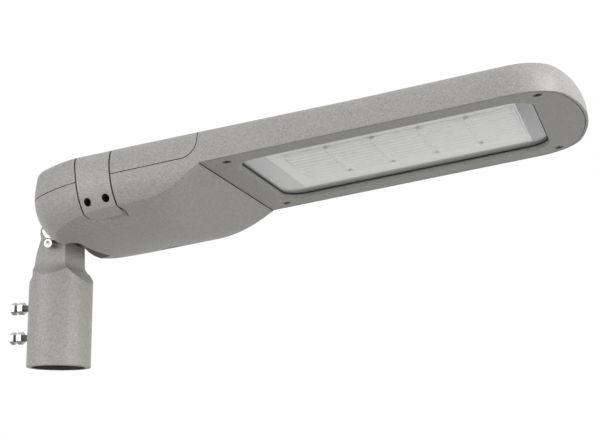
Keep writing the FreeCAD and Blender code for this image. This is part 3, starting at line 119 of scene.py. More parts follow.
def intoHead(tree, vector, origin=(0, 0, 0)):
    # reads a vector in the head's own tilted frame
    inputs = {"Vector": vector, "Location": origin, "Rotation": (0, headFrame["tilt"], 0)}
    return put(tree, "ShaderNodeMapping", inputs, vector_type="TEXTURE").outputs[0]


colourKind, valueKind, vectorKind = "NodeSocketColor", "NodeSocketFloat", "NodeSocketVector"


def newGroup(name, inputs, outputs):
    group = bpy.data.node_groups.new(name, "ShaderNodeTree")
    for label, kind, value in inputs:
        socket = group.interface.new_socket(label, in_out="INPUT", socket_type=kind)
        if value is not None:
            socket.default_value = value
    for label, kind in outputs:
        group.interface.new_socket(label, in_out="OUTPUT", socket_type=kind)
    return group, group.nodes.new("NodeGroupInput").outputs, group.nodes.new("NodeGroupOutput")


speckleLook = {"slowScale": 7.0, "slowDetail": 4.0, "slowGloss": 0.2, "flakeGloss": -0.06}


def makeSpeckle():
    # fine sparkle of a metallic coat, a slow change of tone, and the coat's pebbled skin
    group, given, out = newGroup("coatSpeckle", [
        ("Vector", vectorKind, None), ("Colour", colourKind, (0.5, 0.5, 0.5, 1)),
        ("Flake Scale", valueKind, 1100), ("Flake Amount", valueKind, 0.1),
        ("Mottle", valueKind, 0.05), ("Roughness", valueKind, 0.5)],
        [("Colour", colourKind), ("Roughness", valueKind), ("Height", valueKind)])
    where, scale = given["Vector"], given["Flake Scale"]
    flake = put(group, "ShaderNodeTexVoronoi", {"Vector": where, "Scale": scale}).outputs["Color"]
    tone = put(group, "ShaderNodeSeparateColor", {0: flake}).outputs[0]
    slow = noise(group, where, speckleLook["slowScale"], speckleLook["slowDetail"])
    shade = maths(group, "MULTIPLY", around(group, tone, given["Flake Amount"], 1.0),
                  around(group, slow, given["Mottle"], 1.0))
    rough = maths(group, "MULTIPLY_ADD", tone, speckleLook["flakeGloss"],
                  around(group, slow, speckleLook["slowGloss"], given["Roughness"]))
    feed(group, out, {"Colour": shadeBy(group, given["Colour"], shade), "Roughness": rough,
                      "Height": noise(group, where, scale)})
    return group


# the range of slopes on which dust gathers, and how much of it lies at either end
dustLook = {"slopes": (0.1, 0.95, 0.15, 1.0), "patchDetail": 5.0, "patchRoughness": 0.62,
            "patchFrom": (0.35, 0.7)}


def makeDust():
    # pale dust that settles on faces that look up, in soft patches
    group, given, out = newGroup("settledDust", [
        ("Vector", vectorKind, None), ("Normal", vectorKind, None),
        ("Colour", colourKind, (0.5, 0.5, 0.5, 1)),
        ("Dust Colour", colourKind, (0.6, 0.58, 0.54, 1)),
        ("Amount", valueKind, 0.2), ("Patch Scale", valueKind, 14.0)],
        [("Colour", colourKind), ("Mask", valueKind)])
    facing = spread(group, axesOf(group, given["Normal"])[2], *dustLook["slopes"])
    cloud = noise(group, given["Vector"], given["Patch Scale"], dustLook["patchDetail"],
                  dustLook["patchRoughness"])
    film = maths(group, "MULTIPLY", facing, spread(group, cloud, *dustLook["patchFrom"]))
    mask = maths(group, "MULTIPLY", film, given["Amount"], clamp=True)
    feed(group, out, {"Colour": blendColours(group, mask, given["Colour"], given["Dust Colour"]),
                      "Mask": mask})
    return group


rubsLook = {"stretch": (1.0, 9.0, 9.0), "lineDetail": 3.0, "lineWarp": 0.6,
            "lineFrom": (0.66, 0.72), "placeScale": 9.0, "placeFrom": (0.52, 0.66)}


def makeRubs():
    # short fine handling rubs: thin pale streaks, only here and there
    group, given, out = newGroup("handlingRubs", [
        ("Vector", vectorKind, None), ("Amount", valueKind, 0.3),
        ("Length Scale", valueKind, 60.0)],
        [("Mask", valueKind)])
    drawn = put(group, "ShaderNodeMapping",
                {"Vector": given["Vector"], "Scale": rubsLook["stretch"]})
    lines = noise(group, drawn.outputs[0], given["Length Scale"], rubsLook["lineDetail"],
                  distortion=rubsLook["lineWarp"])
    thin = spread(group, lines, *rubsLook["lineFrom"])
    places = noise(group, given["Vector"], rubsLook["placeScale"])
    some = spread(group, places, *rubsLook["placeFrom"])
    feed(group, out, {"Mask": chain(group, "MULTIPLY", thin, some, given["Amount"])})
    return group


brushLook = {"lineDetail": 4.0, "lineGloss": 0.3}


def makeBrushed():
    # drawn or turned metal: fine parallel lines in colour, roughness and height
    group, given, out = newGroup("brushedMetal", [
        ("Vector", vectorKind, None), ("Stretch", vectorKind, (1.0, 12.0, 12.0)),
        ("Colour", colourKind, (0.6, 0.6, 0.6, 1)), ("Line Scale", valueKind, 300.0),
        ("Contrast", valueKind, 0.2), ("Roughness", valueKind, 0.3)],
        [("Colour", colourKind), ("Roughness", valueKind), ("Height", valueKind)])
    drawn = put(group, "ShaderNodeVectorMath", {0: given["Vector"], 1: given["Stretch"]},
                operation="MULTIPLY")
    lines = noise(group, drawn.outputs[0], given["Line Scale"], brushLook["lineDetail"])
    shade = around(group, lines, given["Contrast"], 1.0)
    feed(group, out, {"Colour": shadeBy(group, given["Colour"], shade), "Height": lines,
                      "Roughness": around(group, lines, brushLook["lineGloss"], given["Roughness"])})
    return group


mouldLook = {"cloudScale": 35.0, "cloudDetail": 4.0, "cloudGloss": 0.15, "paleFrom": (0.4, 0.75),
             "paleTone": (0.5, 0.5, 0.5, 1)}


def makeMoulded():
    # the grain of moulded plastic and rubber, with a little bloom
    group, given, out = newGroup("mouldedGrain", [
        ("Vector", vectorKind, None), ("Colour", colourKind, (0.1, 0.1, 0.1, 1)),
        ("Grain Scale", valueKind, 900.0), ("Bloom", valueKind, 0.15),
        ("Roughness", valueKind, 0.5)],
        [("Colour", colourKind), ("Roughness", valueKind), ("Height", valueKind)])
    grain = put(group, "ShaderNodeTexVoronoi",
                {"Vector": given["Vector"], "Scale": given["Grain Scale"]}, feature="SMOOTH_F1")
    cloud = noise(group, given["Vector"], mouldLook["cloudScale"], mouldLook["cloudDetail"])
    pale = maths(group, "MULTIPLY", spread(group, cloud, *mouldLook["paleFrom"]), given["Bloom"])
    rough = maths(group, "MULTIPLY_ADD", cloud, mouldLook["cloudGloss"], given["Roughness"])
    feed(group, out, {"Colour": blendColours(group, pale, given["Colour"], mouldLook["paleTone"]),
                      "Roughness": rough, "Height": grain.outputs["Distance"]})
    return group


def makeThread():
    # screw thread as a height: a helix round an axis, only out to the thread's own radius
    group, given, out = newGroup("screwThread", [
        ("Along", valueKind, 0.0), ("Side", valueKind, 0.0), ("Rise", valueKind, 0.0),
        ("Pitch", valueKind, 0.001), ("Radius", valueKind, 0.004)],
        [("Height", valueKind), ("Mask", valueKind)])
    side, rise = given["Side"], given["Rise"]
    angle = maths(group, "DIVIDE", maths(group, "ARCTAN2", side, rise), 2 * math.pi)
    turns = maths(group, "ADD", maths(group, "DIVIDE", given["Along"], given["Pitch"]), angle)
    flank = maths(group, "PINGPONG", turns, 0.5)
    inside = maths(group, "LESS_THAN", distance(group, side, rise), given["Radius"])
    feed(group, out, {"Height": chain(group, "MULTIPLY", flank, 2.0, inside), "Mask": inside})
    return group


# where the castings meet and where their screws sink in, in the head's frame
jointLines = {
    "gap": 0.0007, "bandEdges": (0.0825, 0.1245), "bandShade": 0.00085,
    "coverFront": 0.22690, "parting": 0.02135,
    "cornerAt": (0.2071, 0.0418), "cornerRadius": 0.02045,
    "bezelRear": 0.22705, "bezelTop": 0.0182, "bezelMiddle": 0.42,
    "claspAt": (0.09225, 0.11475), "claspHeight": -0.0026, "claspRadius": 0.0044,
    "sinkAt": (0.252, 0.588), "sinkSide": 0.108, "sinkRadius": 0.0049,
    "acrossAbove": 0.6, "sidewaysAbove": 0.35, "uprightBelow": 0.35, "sinkBelow": 0.7,
    "seamAbove": 0.02,
}


def makeJointShade():
    # paints shade: darkens the walls inside the joints between the castings, the outer faces just
    # beside the band's seams, and the walls of the screw holes
    lines, gap = jointLines, jointLines["gap"]
    group, given, out = newGroup("jointShade", [
        ("Vector", vectorKind, None), ("Normal", vectorKind, None), ("Seam Side", valueKind, 0.0)],
        [("Mask", valueKind)])
    near = partial(maths, group, "COMPARE")
    over, under = partial(maths, group, "GREATER_THAN"), partial(maths, group, "LESS_THAN")
    both, either = partial(chain, group, "MINIMUM"), partial(chain, group, "MAXIMUM")
    x, y, z = axesOf(group, intoHead(group, given["Vector"], (0, 0, headFrame["pivotHeight"])))
    normals = axesOf(group, intoHead(group, given["Normal"]))
    faceX, faceY, faceZ = (maths(group, "ABSOLUTE", part) for part in normals)
    side = maths(group, "ABSOLUTE", y)

    def away(first, second, centre):
        return distance(group, *(maths(group, "SUBTRACT", value, middle)
                                 for value, middle in zip((first, second), centre)))

    across, sideways = over(faceX, lines["acrossAbove"]), over(faceY, lines["sidewaysAbove"])
    low = under(z, lines["bezelTop"])
    edges = lines["bandEdges"]
    band = both(across, either(*(near(x, edge, 2 * gap) for edge in edges)))
    shoulder = both(sideways, either(*(near(x, edge, lines["bandShade"]) for edge in edges)))
    bezel = both(across, near(x, lines["bezelRear"], gap), low)

    cornerX, cornerZ = lines["cornerAt"]
    ahead, above = over(x, cornerX), over(z, cornerZ)
    parting = both(near(z, lines["parting"], gap), maths(group, "SUBTRACT", 1.0, ahead))
    front = both(near(x, lines["coverFront"], gap), above)
    corner = both(near(away(x, z, lines["cornerAt"]), lines["cornerRadius"], gap), ahead,
                  maths(group, "SUBTRACT", 1.0, above))
    cover = both(under(faceY, lines["sidewaysAbove"]), either(parting, front, corner))

    clasps = either(*(under(away(x, z, (at, lines["claspHeight"])), lines["claspRadius"])
                      for at in lines["claspAt"]))
    sinks = both(under(faceZ, lines["sinkBelow"]),
                 either(*(under(away(x, side, (at, lines["sinkSide"])), lines["sinkRadius"])
                          for at in lines["sinkAt"])))
    # the seam round the bezel: its own edge faces out, and the housing's rim faces in
    run = maths(group, "SUBTRACT", x, lines["bezelMiddle"])
    outward = maths(group, "MULTIPLY_ADD", normals[0], run,
                    maths(group, "MULTIPLY", normals[1], y))
    rim = both(over(maths(group, "MULTIPLY", outward, given["Seam Side"]), lines["seamAbove"]),
               under(faceZ, lines["uprightBelow"]), low, over(x, lines["bezelRear"]))
    feed(group, out, {"Mask": either(band, shoulder, bezel, cover, clasps, sinks, rim)})
    return group


speckle, dust, rubs = makeSpeckle(), makeDust(), makeRubs()
brushed, moulded, thread = makeBrushed(), makeMoulded(), makeThread()
jointShade = makeJointShade()
print("effect groups made")


def startMaterial(name, colour):
    material = bpy.data.materials.new(name + "Finish")
    material.use_nodes = True
    material.diffuse_color = (*colour, 1)
    tree = material.node_tree
    return material, tree, tree.nodes["Principled BSDF"], put(tree, "ShaderNodeTexCoord").outputs


def effect(tree, group, values):
    return put(tree, "ShaderNodeGroup", values, node_tree=group).outputs


def mixSurface(tree, share, shader, other):
    mix = put(tree, "ShaderNodeMixShader", {0: share, 1: shader.outputs[0], 2: other.outputs[0]})
    feed(tree, tree.nodes["Material Output"], {"Surface": mix.outputs[0]})


# powder coat, one finish for each casting
coatLook = {
    "colour": (0.415, 0.408, 0.386), "metallic": 0.12, "roughness": 0.52, "specularLevel": 0.35,
    "flakeScale": 1000.0, "flakeAmount": 0.36, "skinDepth": 0.00025, "skinStrength": 0.5,
    "wornTone": (0.62, 0.61, 0.59, 1), "dustRoughness": 0.25,
    # the joint tone is painted shade in the joints between the castings and in the screw holes
    "jointTone": (0.012, 0.012, 0.012, 1), "jointShare": 0.9,
    # the bore tone is painted shade inside the spigot's socket
    "boreTone": (0.018, 0.018, 0.018, 1), "boreShare": 0.88,
}
castings = {
    "housing_coat": {"tint": 0.97, "mottle": 0.10, "dust": 0.10, "rubs": 0.25, "seamSide": -1.0},
    "cover_coat": {"tint": 0.98, "mottle": 0.10, "dust": 0.22, "rubs": 0.25, "seamSide": 0.0},
    "band_coat": {"tint": 1.02, "mottle": 0.07, "dust": 0.15, "rubs": 0.35, "seamSide": 0.0},
    "bezel_coat": {"tint": 0.83, "mottle": 0.10, "dust": 0.05, "rubs": 0.20, "seamSide": 1.0},
    "spigot_coat": {"tint": 0.98, "mottle": 0.12, "dust": 0.10, "rubs": 0.35,
                    "boreRadius": 0.0318, "boreDepth": 0.095},
}


def coatFinish(name, casting):
    material, tree, shader, place = startMaterial(name, coatLook["colour"])
    where, normal = place["Object"], place["Normal"]
    tinted = tuple(part * casting["tint"] for part in coatLook["colour"]) + (1,)
    coat = effect(tree, speckle, {
        "Vector": where, "Colour": tinted, "Flake Scale": coatLook["flakeScale"],
        "Flake Amount": coatLook["flakeAmount"], "Mottle": casting["mottle"],
        "Roughness": coatLook["roughness"]})
    streak = effect(tree, rubs, {"Vector": where, "Amount": casting["rubs"]})["Mask"]
    worn = blendColours(tree, streak, coat["Colour"], coatLook["wornTone"])
    film = effect(tree, dust, {"Vector": where, "Normal": normal, "Colour": worn,
                               "Amount": casting["dust"]})
    if "boreRadius" in casting:
        # painted shade inside the socket: the wall there is darkened near black
        x, y, z = axesOf(tree, where)
        within = maths(tree, "LESS_THAN", distance(tree, x, y), casting["boreRadius"])
        deep = maths(tree, "MULTIPLY", within, maths(tree, "LESS_THAN", z, casting["boreDepth"]))
        kind = "bore"
    else:
        # painted shade in the joints between the castings and in the screw holes
        deep = effect(tree, jointShade, {"Vector": where, "Normal": normal,
                                         "Seam Side": casting["seamSide"]})["Mask"]
        kind = "joint"
    share = maths(tree, "MULTIPLY", deep, coatLook[kind + "Share"])
    rough = maths(tree, "MULTIPLY_ADD", film["Mask"], coatLook["dustRoughness"], coat["Roughness"])
    feed(tree, shader, {
        "Base Color": blendColours(tree, share, film["Colour"], coatLook[kind + "Tone"]),
        "Roughness": rough, "Metallic": coatLook["metallic"],
        "Specular IOR Level": coatLook["specularLevel"],
        "Normal": bumpFrom(tree, coat["Height"], coatLook["skinDepth"], coatLook["skinStrength"])})
    return material


# bare metals; the plate round the modules lies in deeper shade towards the tip
metals = {
    # the sunk screws' finish is near black: painted shade of the holes they sit in
    "blackened": {"colour": (0.06, 0.06, 0.06), "roughness": 0.42, "lines": 420.0, "contrast": 0.35,
                  "stretch": (3.0, 3.0, 3.0), "depth": 0.00003, "metallic": 0.7},
    "stainless": {"colour": (0.50, 0.495, 0.48), "roughness": 0.3, "lines": 420.0, "contrast": 0.35,
                  "stretch": (3.0, 3.0, 3.0), "depth": 0.00003, "metallic": 1.0},
    "bare_aluminium": {"colour": (0.50, 0.505, 0.505), "roughness": 0.5, "lines": 160.0,
                       "contrast": 0.10, "stretch": (1.0, 10.0, 10.0), "depth": 0.00003,
                       "metallic": 0.45},
    "plate_aluminium": {"colour": (0.62, 0.625, 0.625), "roughness": 0.5, "lines": 160.0,
                        "contrast": 0.10, "stretch": (1.0, 10.0, 10.0), "depth": 0.00003,
                        "metallic": 0.3, "specularLevel": 0.05, "shadeAlong": (0.36, 0.52),
                        "shade": 0.9},
    "zinc_sheet": {"colour": (0.52, 0.53, 0.55), "roughness": 0.38, "lines": 60.0, "contrast": 0.25,
                   "stretch": (1.0, 1.0, 1.0), "depth": 0.00002, "metallic": 0.9},
    "driver_case": {"colour": (0.55, 0.56, 0.58), "roughness": 0.42, "lines": 240.0,
                    "contrast": 0.15, "stretch": (1.0, 14.0, 14.0), "depth": 0.00003,
                    "metallic": 0.8},
    "brass": {"colour": (0.72, 0.53, 0.26), "roughness": 0.3, "lines": 300.0, "contrast": 0.2,
              "stretch": (2.0, 2.0, 2.0), "depth": 0.00002, "metallic": 1.0},
}
metalWearAndShade = {"rubs": 0.4, "rubScale": 240.0, "rubTone": (0.25, 0.24, 0.23, 1), "rubRoughness": 0.2,
             "shadeTone": (0.01, 0.01, 0.01, 1), "lineStrength": 0.6}
# the thread's axis and side, and where its middle lies; two screws lie half a spacing off it
screwThreads = {
    "clamp_screws": {"along": "X", "side": "Y", "middle": 0.05425, "half": 0.01775,
                     "pitch": 0.00125, "radius": 0.0042},
    "lock_screw": {"along": "Y", "side": "X", "middle": 0.1425, "half": 0.0,
                   "pitch": 0.001, "radius": 0.0032},
    "tilt_bolt": {"along": "Y", "side": "X", "middle": 0.158, "half": 0.0,
                  "pitch": 0.0015, "radius": 0.0052},
}
threadLook = {"valley": (0.35, 0.9), "share": 0.8, "tone": (0.08, 0.08, 0.08, 1), "relief": 0.5}


def threadMarks(tree, where, screw):
    # painted shade in the thread's valleys: how dark they are, and the thread's relief
    parts = axesOf(tree, where)
    rise = maths(tree, "SUBTRACT", parts["Z"], screw["middle"])
    if screw["half"]:
        rise = maths(tree, "SUBTRACT", maths(tree, "ABSOLUTE", rise), screw["half"])
    marks = effect(tree, thread, {"Along": parts[screw["along"]], "Side": parts[screw["side"]],
                                  "Rise": rise, "Pitch": screw["pitch"], "Radius": screw["radius"]})
    depth = maths(tree, "SUBTRACT", marks["Mask"], marks["Height"])
    valley = spread(tree, depth, *threadLook["valley"])
    return (maths(tree, "MULTIPLY", valley, threadLook["share"]),
            bumpFrom(tree, marks["Height"], screw["pitch"] * threadLook["relief"]))


def metalFinish(name, look, screw=None):
    material, tree, shader, place = startMaterial(name, look["colour"])
    where = place["Object"]
    metal = effect(tree, brushed, {
        "Vector": where, "Stretch": look["stretch"], "Colour": (*look["colour"], 1),
        "Line Scale": look["lines"], "Contrast": look["contrast"], "Roughness": look["roughness"]})
    streak = effect(tree, rubs, {"Vector": where, "Amount": metalWearAndShade["rubs"],
                                 "Length Scale": metalWearAndShade["rubScale"]})["Mask"]
    colour = blendColours(tree, streak, metal["Colour"], metalWearAndShade["rubTone"])
    under = None
    if "shade" in look:
        # painted shade: the colour darkens along x towards the tip
        deep = spread(tree, axesOf(tree, where)["X"], *look["shadeAlong"], 0.0, look["shade"])
        colour = blendColours(tree, deep, colour, metalWearAndShade["shadeTone"])
    if screw:
        dark, under = threadMarks(tree, where, screw)
        colour = blendColours(tree, dark, colour, threadLook["tone"])
    rough = maths(tree, "MULTIPLY_ADD", streak, metalWearAndShade["rubRoughness"], metal["Roughness"])
    feed(tree, shader, {
        "Base Color": colour, "Roughness": rough, "Metallic": look["metallic"],
        "Specular IOR Level": look.get("specularLevel", 0.5),
        "Normal": bumpFrom(tree, metal["Height"], look["depth"], metalWearAndShade["lineStrength"], under)})
    return material


# plastics, rubber, white parts and the phosphor on the LED chips
mouldings = {
    "rubber": {"colour": (0.028, 0.028, 0.028), "roughness": 0.62, "grain": 700.0, "bloom": 0.05,
               "depth": 0.0001, "strength": 0.5},
    "dark_plastic": {"colour": (0.035, 0.035, 0.038), "roughness": 0.42, "grain": 1100.0,
                     "bloom": 0.04, "depth": 0.00008, "strength": 0.5},
    "black_plastic": {"colour": (0.022, 0.022, 0.022), "roughness": 0.45, "grain": 1100.0,
                      "bloom": 0.04, "depth": 0.00008, "strength": 0.5},
    "terminal_plastic": {"colour": (0.62, 0.61, 0.56), "roughness": 0.35, "grain": 1200.0,
                         "bloom": 0.06, "depth": 0.00005, "strength": 0.5},
    "board_white": {"colour": (0.90, 0.90, 0.87), "roughness": 0.42, "grain": 1500.0, "bloom": 0.05,
                    "depth": 0.00002, "strength": 0.5},
    "reflector_white": {"colour": (0.93, 0.93, 0.915), "roughness": 0.38, "grain": 1500.0,
                        "bloom": 0.08, "depth": 0.00002, "strength": 0.5},
    "phosphor": {"colour": (0.80, 0.68, 0.22), "roughness": 0.4, "grain": 2500.0, "bloom": 0.1,
                 "depth": 0.00002, "strength": 0.4},
}


def mouldedSkin(tree, where, look):
    return effect(tree, moulded, {
        "Vector": where, "Colour": (*look["colour"], 1), "Grain Scale": look["grain"],
        "Bloom": look["bloom"], "Roughness": look["roughness"]})


def mouldedFinish(name, look):
    material, tree, shader, place = startMaterial(name, look["colour"])
    skin = mouldedSkin(tree, place["Object"], look)
    feed(tree, shader, {"Base Color": skin["Colour"], "Roughness": skin["Roughness"],
                        "Normal": bumpFrom(tree, skin["Height"], look["depth"], look["strength"])})
    return material


# glass and lenses: light for the inside passes through them to the boards
clearParts = {
    "window_glass": {"colour": (0.985, 0.992, 0.988), "roughness": 0.0, "ior": 1.45,
                     "specularLevel": 0.05, "transmission": 1.0, "ripple": 0.0000015,
                     "rippleScale": 40.0, "film": 0.05},
    "lens_clear": {"colour": (0.975, 0.975, 0.965), "roughness": 0.05, "ior": 1.49,
                   "specularLevel": 0.45, "transmission": 0.85, "ripple": 0.000004,
                   "rippleScale": 600.0, "film": 0.02,
                   "flankTone": (0.40, 0.40, 0.38, 1), "flank": 0.75, "flankFrom": (0.55, 0.97)},
}
hazeLook = {"scale": 30.0, "detail": 4.0, "from": (0.45, 0.7), "tone": (0.8, 0.8, 0.78, 1),
            "roughness": 0.6}


def clearFinish(name, look):
    material, tree, shader, place = startMaterial(name, look["colour"])
    where, tint = place["Object"], (*look["colour"], 1)
    cloud = noise(tree, where, hazeLook["scale"], hazeLook["detail"])
    veil = maths(tree, "MULTIPLY", spread(tree, cloud, *hazeLook["from"]), look["film"])
    colour = blendColours(tree, veil, tint, hazeLook["tone"])
    if "flank" in look:
        # the steep flanks of the small lenses gather less light than their tops
        upright = maths(tree, "ABSOLUTE", axesOf(tree, intoHead(tree, place["Normal"]))[2])
        steep = spread(tree, upright, *look["flankFrom"], look["flank"], 0.0)
        colour = blendColours(tree, steep, colour, look["flankTone"])
    rough = maths(tree, "MULTIPLY_ADD", veil, hazeLook["roughness"], look["roughness"])
    feed(tree, shader, {
        "Base Color": colour, "Roughness": rough, "IOR": look["ior"],
        "Transmission Weight": look["transmission"], "Specular IOR Level": look["specularLevel"],
        "Normal": bumpFrom(tree, noise(tree, where, look["rippleScale"]), look["ripple"])})
    path = put(tree, "ShaderNodeLightPath").outputs
    soft = maths(tree, "MAXIMUM", path["Is Shadow Ray"], path["Is Diffuse Ray"])
    mixSurface(tree, soft, shader, put(tree, "ShaderNodeBsdfTransparent", {"Color": tint}))
    return material


finishes = {}
for make, looks in ((coatFinish, castings), (metalFinish, metals), (mouldedFinish, mouldings),
                    (clearFinish, clearParts)):
    finishes.update({name: make(name, look) for name, look in looks.items()})
# nodes whose finish isn't that of their CAD slot; the screws sunk in holes take a near-black finish,
# painted shade of their holes
ownFinish = {"clasp_screws": "blackened", "bezel_screws": "blackened", "module_screws": "blackened",
             "module_plate": "plate_aluminium"}
for name, node in nodes.items():
    slotName = ownFinish.get(name) or node.data.materials[0].name.split(".")[0]
    finish = finishes[slotName]
    if name in screwThreads:
        finish = metalFinish(name, metals[slotName], screwThreads[name])
    node.material_slots[0].material = finish
print("finishes made and given to the CAD nodes")


def finishPiece(mesh, name, material):
    # moves a piece drawn over the LED face to its place and lets it ride on the head
    mesh.transform(Matrix.Translation((0, 0, headFrame["pivotHeight"]))
                   @ Matrix.Rotation(headFrame["tilt"], 4, "Y")
                   @ Matrix.Translation((headFrame["faceStart"], 0, headFrame["faceLevel"])))
    data = bpy.data.meshes.new(name)
    mesh.to_mesh(data)
    mesh.free()
    data.materials.append(material)
    piece = bpy.data.objects.new(name, data)
    bpy.context.scene.collection.objects.link(piece)
    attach(piece, "head")
    return piece


# lens plates with rows of two-lobed lenses; a margin below zero lets the ends of a plate reach
# past those of its CAD solid, so only a thin line stays open between two modules
lensArray = {
    "modules": 5, "start": 0.046, "pitch": 0.0521, "gap": 0.0008, "halfWidth": 0.0564,
    "margin": -0.0003, "crest": 0.0098, "flange": 0.0123, "back": 0.01302, "cell": 0.0006,
    "columns": 5, "columnPitch": 0.0091, "rows": 9, "rowPitch": 0.0118,
    "lobeShift": 0.0021, "lobeLong": 0.0036, "lobeWide": 0.0050,
    "rim": 0.0016, "rimWidth": 0.0008, "rimHeight": 0.0009, "rimCorner": 0.007,
    "notchSide": 0.0535, "notchRadius": 0.0031, "smoothSlope": 0.05,
}


def moduleSpan(number):
    start = lensArray["start"]
    low = start + number * lensArray["pitch"] + lensArray["margin"]
    high = start + (number + 1) * lensArray["pitch"] - lensArray["gap"] - lensArray["margin"]
    return low, high


def lobe(along, side):
    reach = 1 - (along / lensArray["lobeLong"]) ** 2 - (side / lensArray["lobeWide"]) ** 2
    return math.sqrt(reach) if reach > 0 else 0.0


def fromNearest(value, pitch, count):
    # how far a place lies from the nearest of the lenses in its row or column
    half = count // 2
    return value - min(max(round(value / pitch), -half), half) * pitch


def lensDrop(x, y, middle):
    # how far the lens plate stands out below its flange; the bead runs round all the modules
    form = lensArray
    field = form["modules"] * form["pitch"] / 2
    dx = fromNearest(x - middle, form["columnPitch"], form["columns"])
    dy = fromNearest(y, form["rowPitch"], form["rows"])
    dome = max(lobe(dx - form["lobeShift"], dy), lobe(dx + form["lobeShift"], dy))
    rimX = abs(x - form["start"] - field) - (field - form["rim"] - form["rimCorner"])
    rimY = abs(y) - (form["halfWidth"] - form["rim"] - form["rimCorner"])
    edge = math.hypot(max(rimX, 0), max(rimY, 0)) + min(max(rimX, rimY), 0) - form["rimCorner"]
    bead = max(0.0, 1 - (edge / form["rimWidth"]) ** 2)
    return max((form["flange"] - form["crest"]) * dome, form["rimHeight"] * bead)


def notchPoints(number):
    # the module screws stand in round notches between the plates
    form = lensArray
    return [Vector((form["start"] + k * form["pitch"] - form["gap"] / 2, side * form["notchSide"]))
            for k in (number, number + 1) if 0 < k < form["modules"] for side in (-1, 1)]


def lensSheet(mesh, number):
    form = lensArray
    low, high = moduleSpan(number)
    stepsX, stepsY = round((high - low) / form["cell"]), round(2 * form["halfWidth"] / form["cell"])
    middle, notches = (low + high) / 2, notchPoints(number)
    grid = []
    for i in range(stepsX + 1):
        x = low + (high - low) * i / stepsX
        ys = [-form["halfWidth"] + 2 * form["halfWidth"] * j / stepsY for j in range(stepsY + 1)]
        grid.append([mesh.verts.new((x, y, form["flange"] - lensDrop(x, y, middle))) for y in ys])
    for i in range(stepsX):
        for j in range(stepsY):
            corners = (grid[i][j], grid[i][j + 1], grid[i + 1][j + 1], grid[i + 1][j])
            spot = (corners[0].co.xy + corners[2].co.xy) / 2
            if all((spot - notch).length > form["notchRadius"] for notch in notches):
                mesh.faces.new(corners)
    loose = [vert for vert in mesh.verts if not vert.link_faces]
    bmesh.ops.delete(mesh, geom=loose, context="VERTS")
    for vert in mesh.verts:
        for notch in notches:
            away = vert.co.xy - notch
            if vert.is_boundary and 0 < away.length < form["notchRadius"] + form["cell"]:
                vert.co.xy = notch + away.normalized() * form["notchRadius"]


def openEdges(mesh):
    return [edge for edge in mesh.edges if edge.is_boundary]


def lensPlate(number):
    mesh = bmesh.new()
    lensSheet(mesh, number)
    walls = bmesh.ops.extrude_edge_only(mesh, edges=openEdges(mesh))["geom"]
    for item in walls:
        if isinstance(item, bmesh.types.BMVert):
            item.co.z = lensArray["back"]
    bmesh.ops.contextual_create(mesh, geom=openEdges(mesh))
    bmesh.ops.recalc_face_normals(mesh, faces=mesh.faces)
    if mesh.calc_volume(signed=True) < 0:
        bmesh.ops.reverse_faces(mesh, faces=mesh.faces)
    for face in mesh.faces:
        face.smooth = len(face.verts) == 4 and abs(face.normal.z) > lensArray["smoothSlope"]
    return finishPiece(mesh, "lens_array_%d" % (number + 1), finishes["lens_clear"])


# one LED chip behind each lens
chipLook = {"size": 0.0034, "back": 0.0133, "front": 0.01308, "bevel": 0.0002, "segments": 2}


def chipRow(number):
    form = lensArray
    low, high = moduleSpan(number)
    halfColumns, halfRows = form["columns"] // 2, form["rows"] // 2
    thick = chipLook["back"] - chipLook["front"]
    mesh = bmesh.new()
    for column in range(-halfColumns, halfColumns + 1):
        for row in range(-halfRows, halfRows + 1):
            at = ((low + high) / 2 + column * form["columnPitch"], row * form["rowPitch"],
                  (chipLook["back"] + chipLook["front"]) / 2)
            made = bmesh.ops.create_cube(mesh, size=1.0)["verts"]
            bmesh.ops.scale(mesh, vec=(chipLook["size"], chipLook["size"], thick), verts=made)
            bmesh.ops.translate(mesh, vec=at, verts=made)
    uprights = [edge for edge in mesh.edges
                if abs(edge.verts[0].co.z - edge.verts[1].co.z) > thick / 2]
    bmesh.ops.bevel(mesh, geom=uprights, offset=chipLook["bevel"], segments=chipLook["segments"],
                    affect="EDGES")
    finishPiece(mesh, "led_chips_%d" % (number + 1), finishes["phosphor"])


for number in range(lensArray["modules"]):
    lens = lensPlate(number)
    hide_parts("lens_plate_%d" % (number + 1))
    chipRow(number)
print("lens arrays and chips made")


# a pale round floor that fades into the white surroundings, and soft lamps
studio = {
    "middle": (0.28, 0.0), "aimHeight": 0.18, "floorLevel": -1.0, "floorReach": 5.0,
    "fadeFrom": 2.0, "floorSides": 96, "ambient": 0.48, "ambientTone": (1.0, 0.995, 0.98, 1),
}
floorLook = {"colour": (0.62, 0.62, 0.61), "roughness": 0.7, "grain": 60.0, "bloom": 0.04}
lamps = {
    "leftKey": {"at": (-1.5, -2.0, 0.15), "size": 1.6, "power": 18.5},
    "rightHigh": {"at": (2.3, -0.4, 1.0), "size": 1.4, "power": 21.0},
    "right": {"at": (2.6, -0.9, 0.32), "size": 1.4, "power": 14.0},
    "overhead": {"at": (0.3, -0.3, 2.2), "size": 2.0, "power": 6.0},
}


def floorFinish():
    material, tree, shader, place = startMaterial("floor", floorLook["colour"])
    where = place["Object"]
    skin = mouldedSkin(tree, where, floorLook)
    feed(tree, shader, {"Base Color": skin["Colour"], "Roughness": skin["Roughness"]})
    below = put(tree, "ShaderNodeNewGeometry").outputs["Backfacing"]
    flat = put(tree, "ShaderNodeVectorMath", {0: where, 1: (1, 1, 0)}, operation="MULTIPLY")
    out = put(tree, "ShaderNodeVectorMath", {0: flat.outputs[0], 1: (*studio["middle"], 0)},
              operation="DISTANCE")
    fade = spread(tree, out.outputs[1], studio["fadeFrom"], studio["floorReach"], how="SMOOTHSTEP")
    gone = maths(tree, "MAXIMUM", below, fade)
    mixSurface(tree, gone, shader, put(tree, "ShaderNodeBsdfTransparent"))
    return material


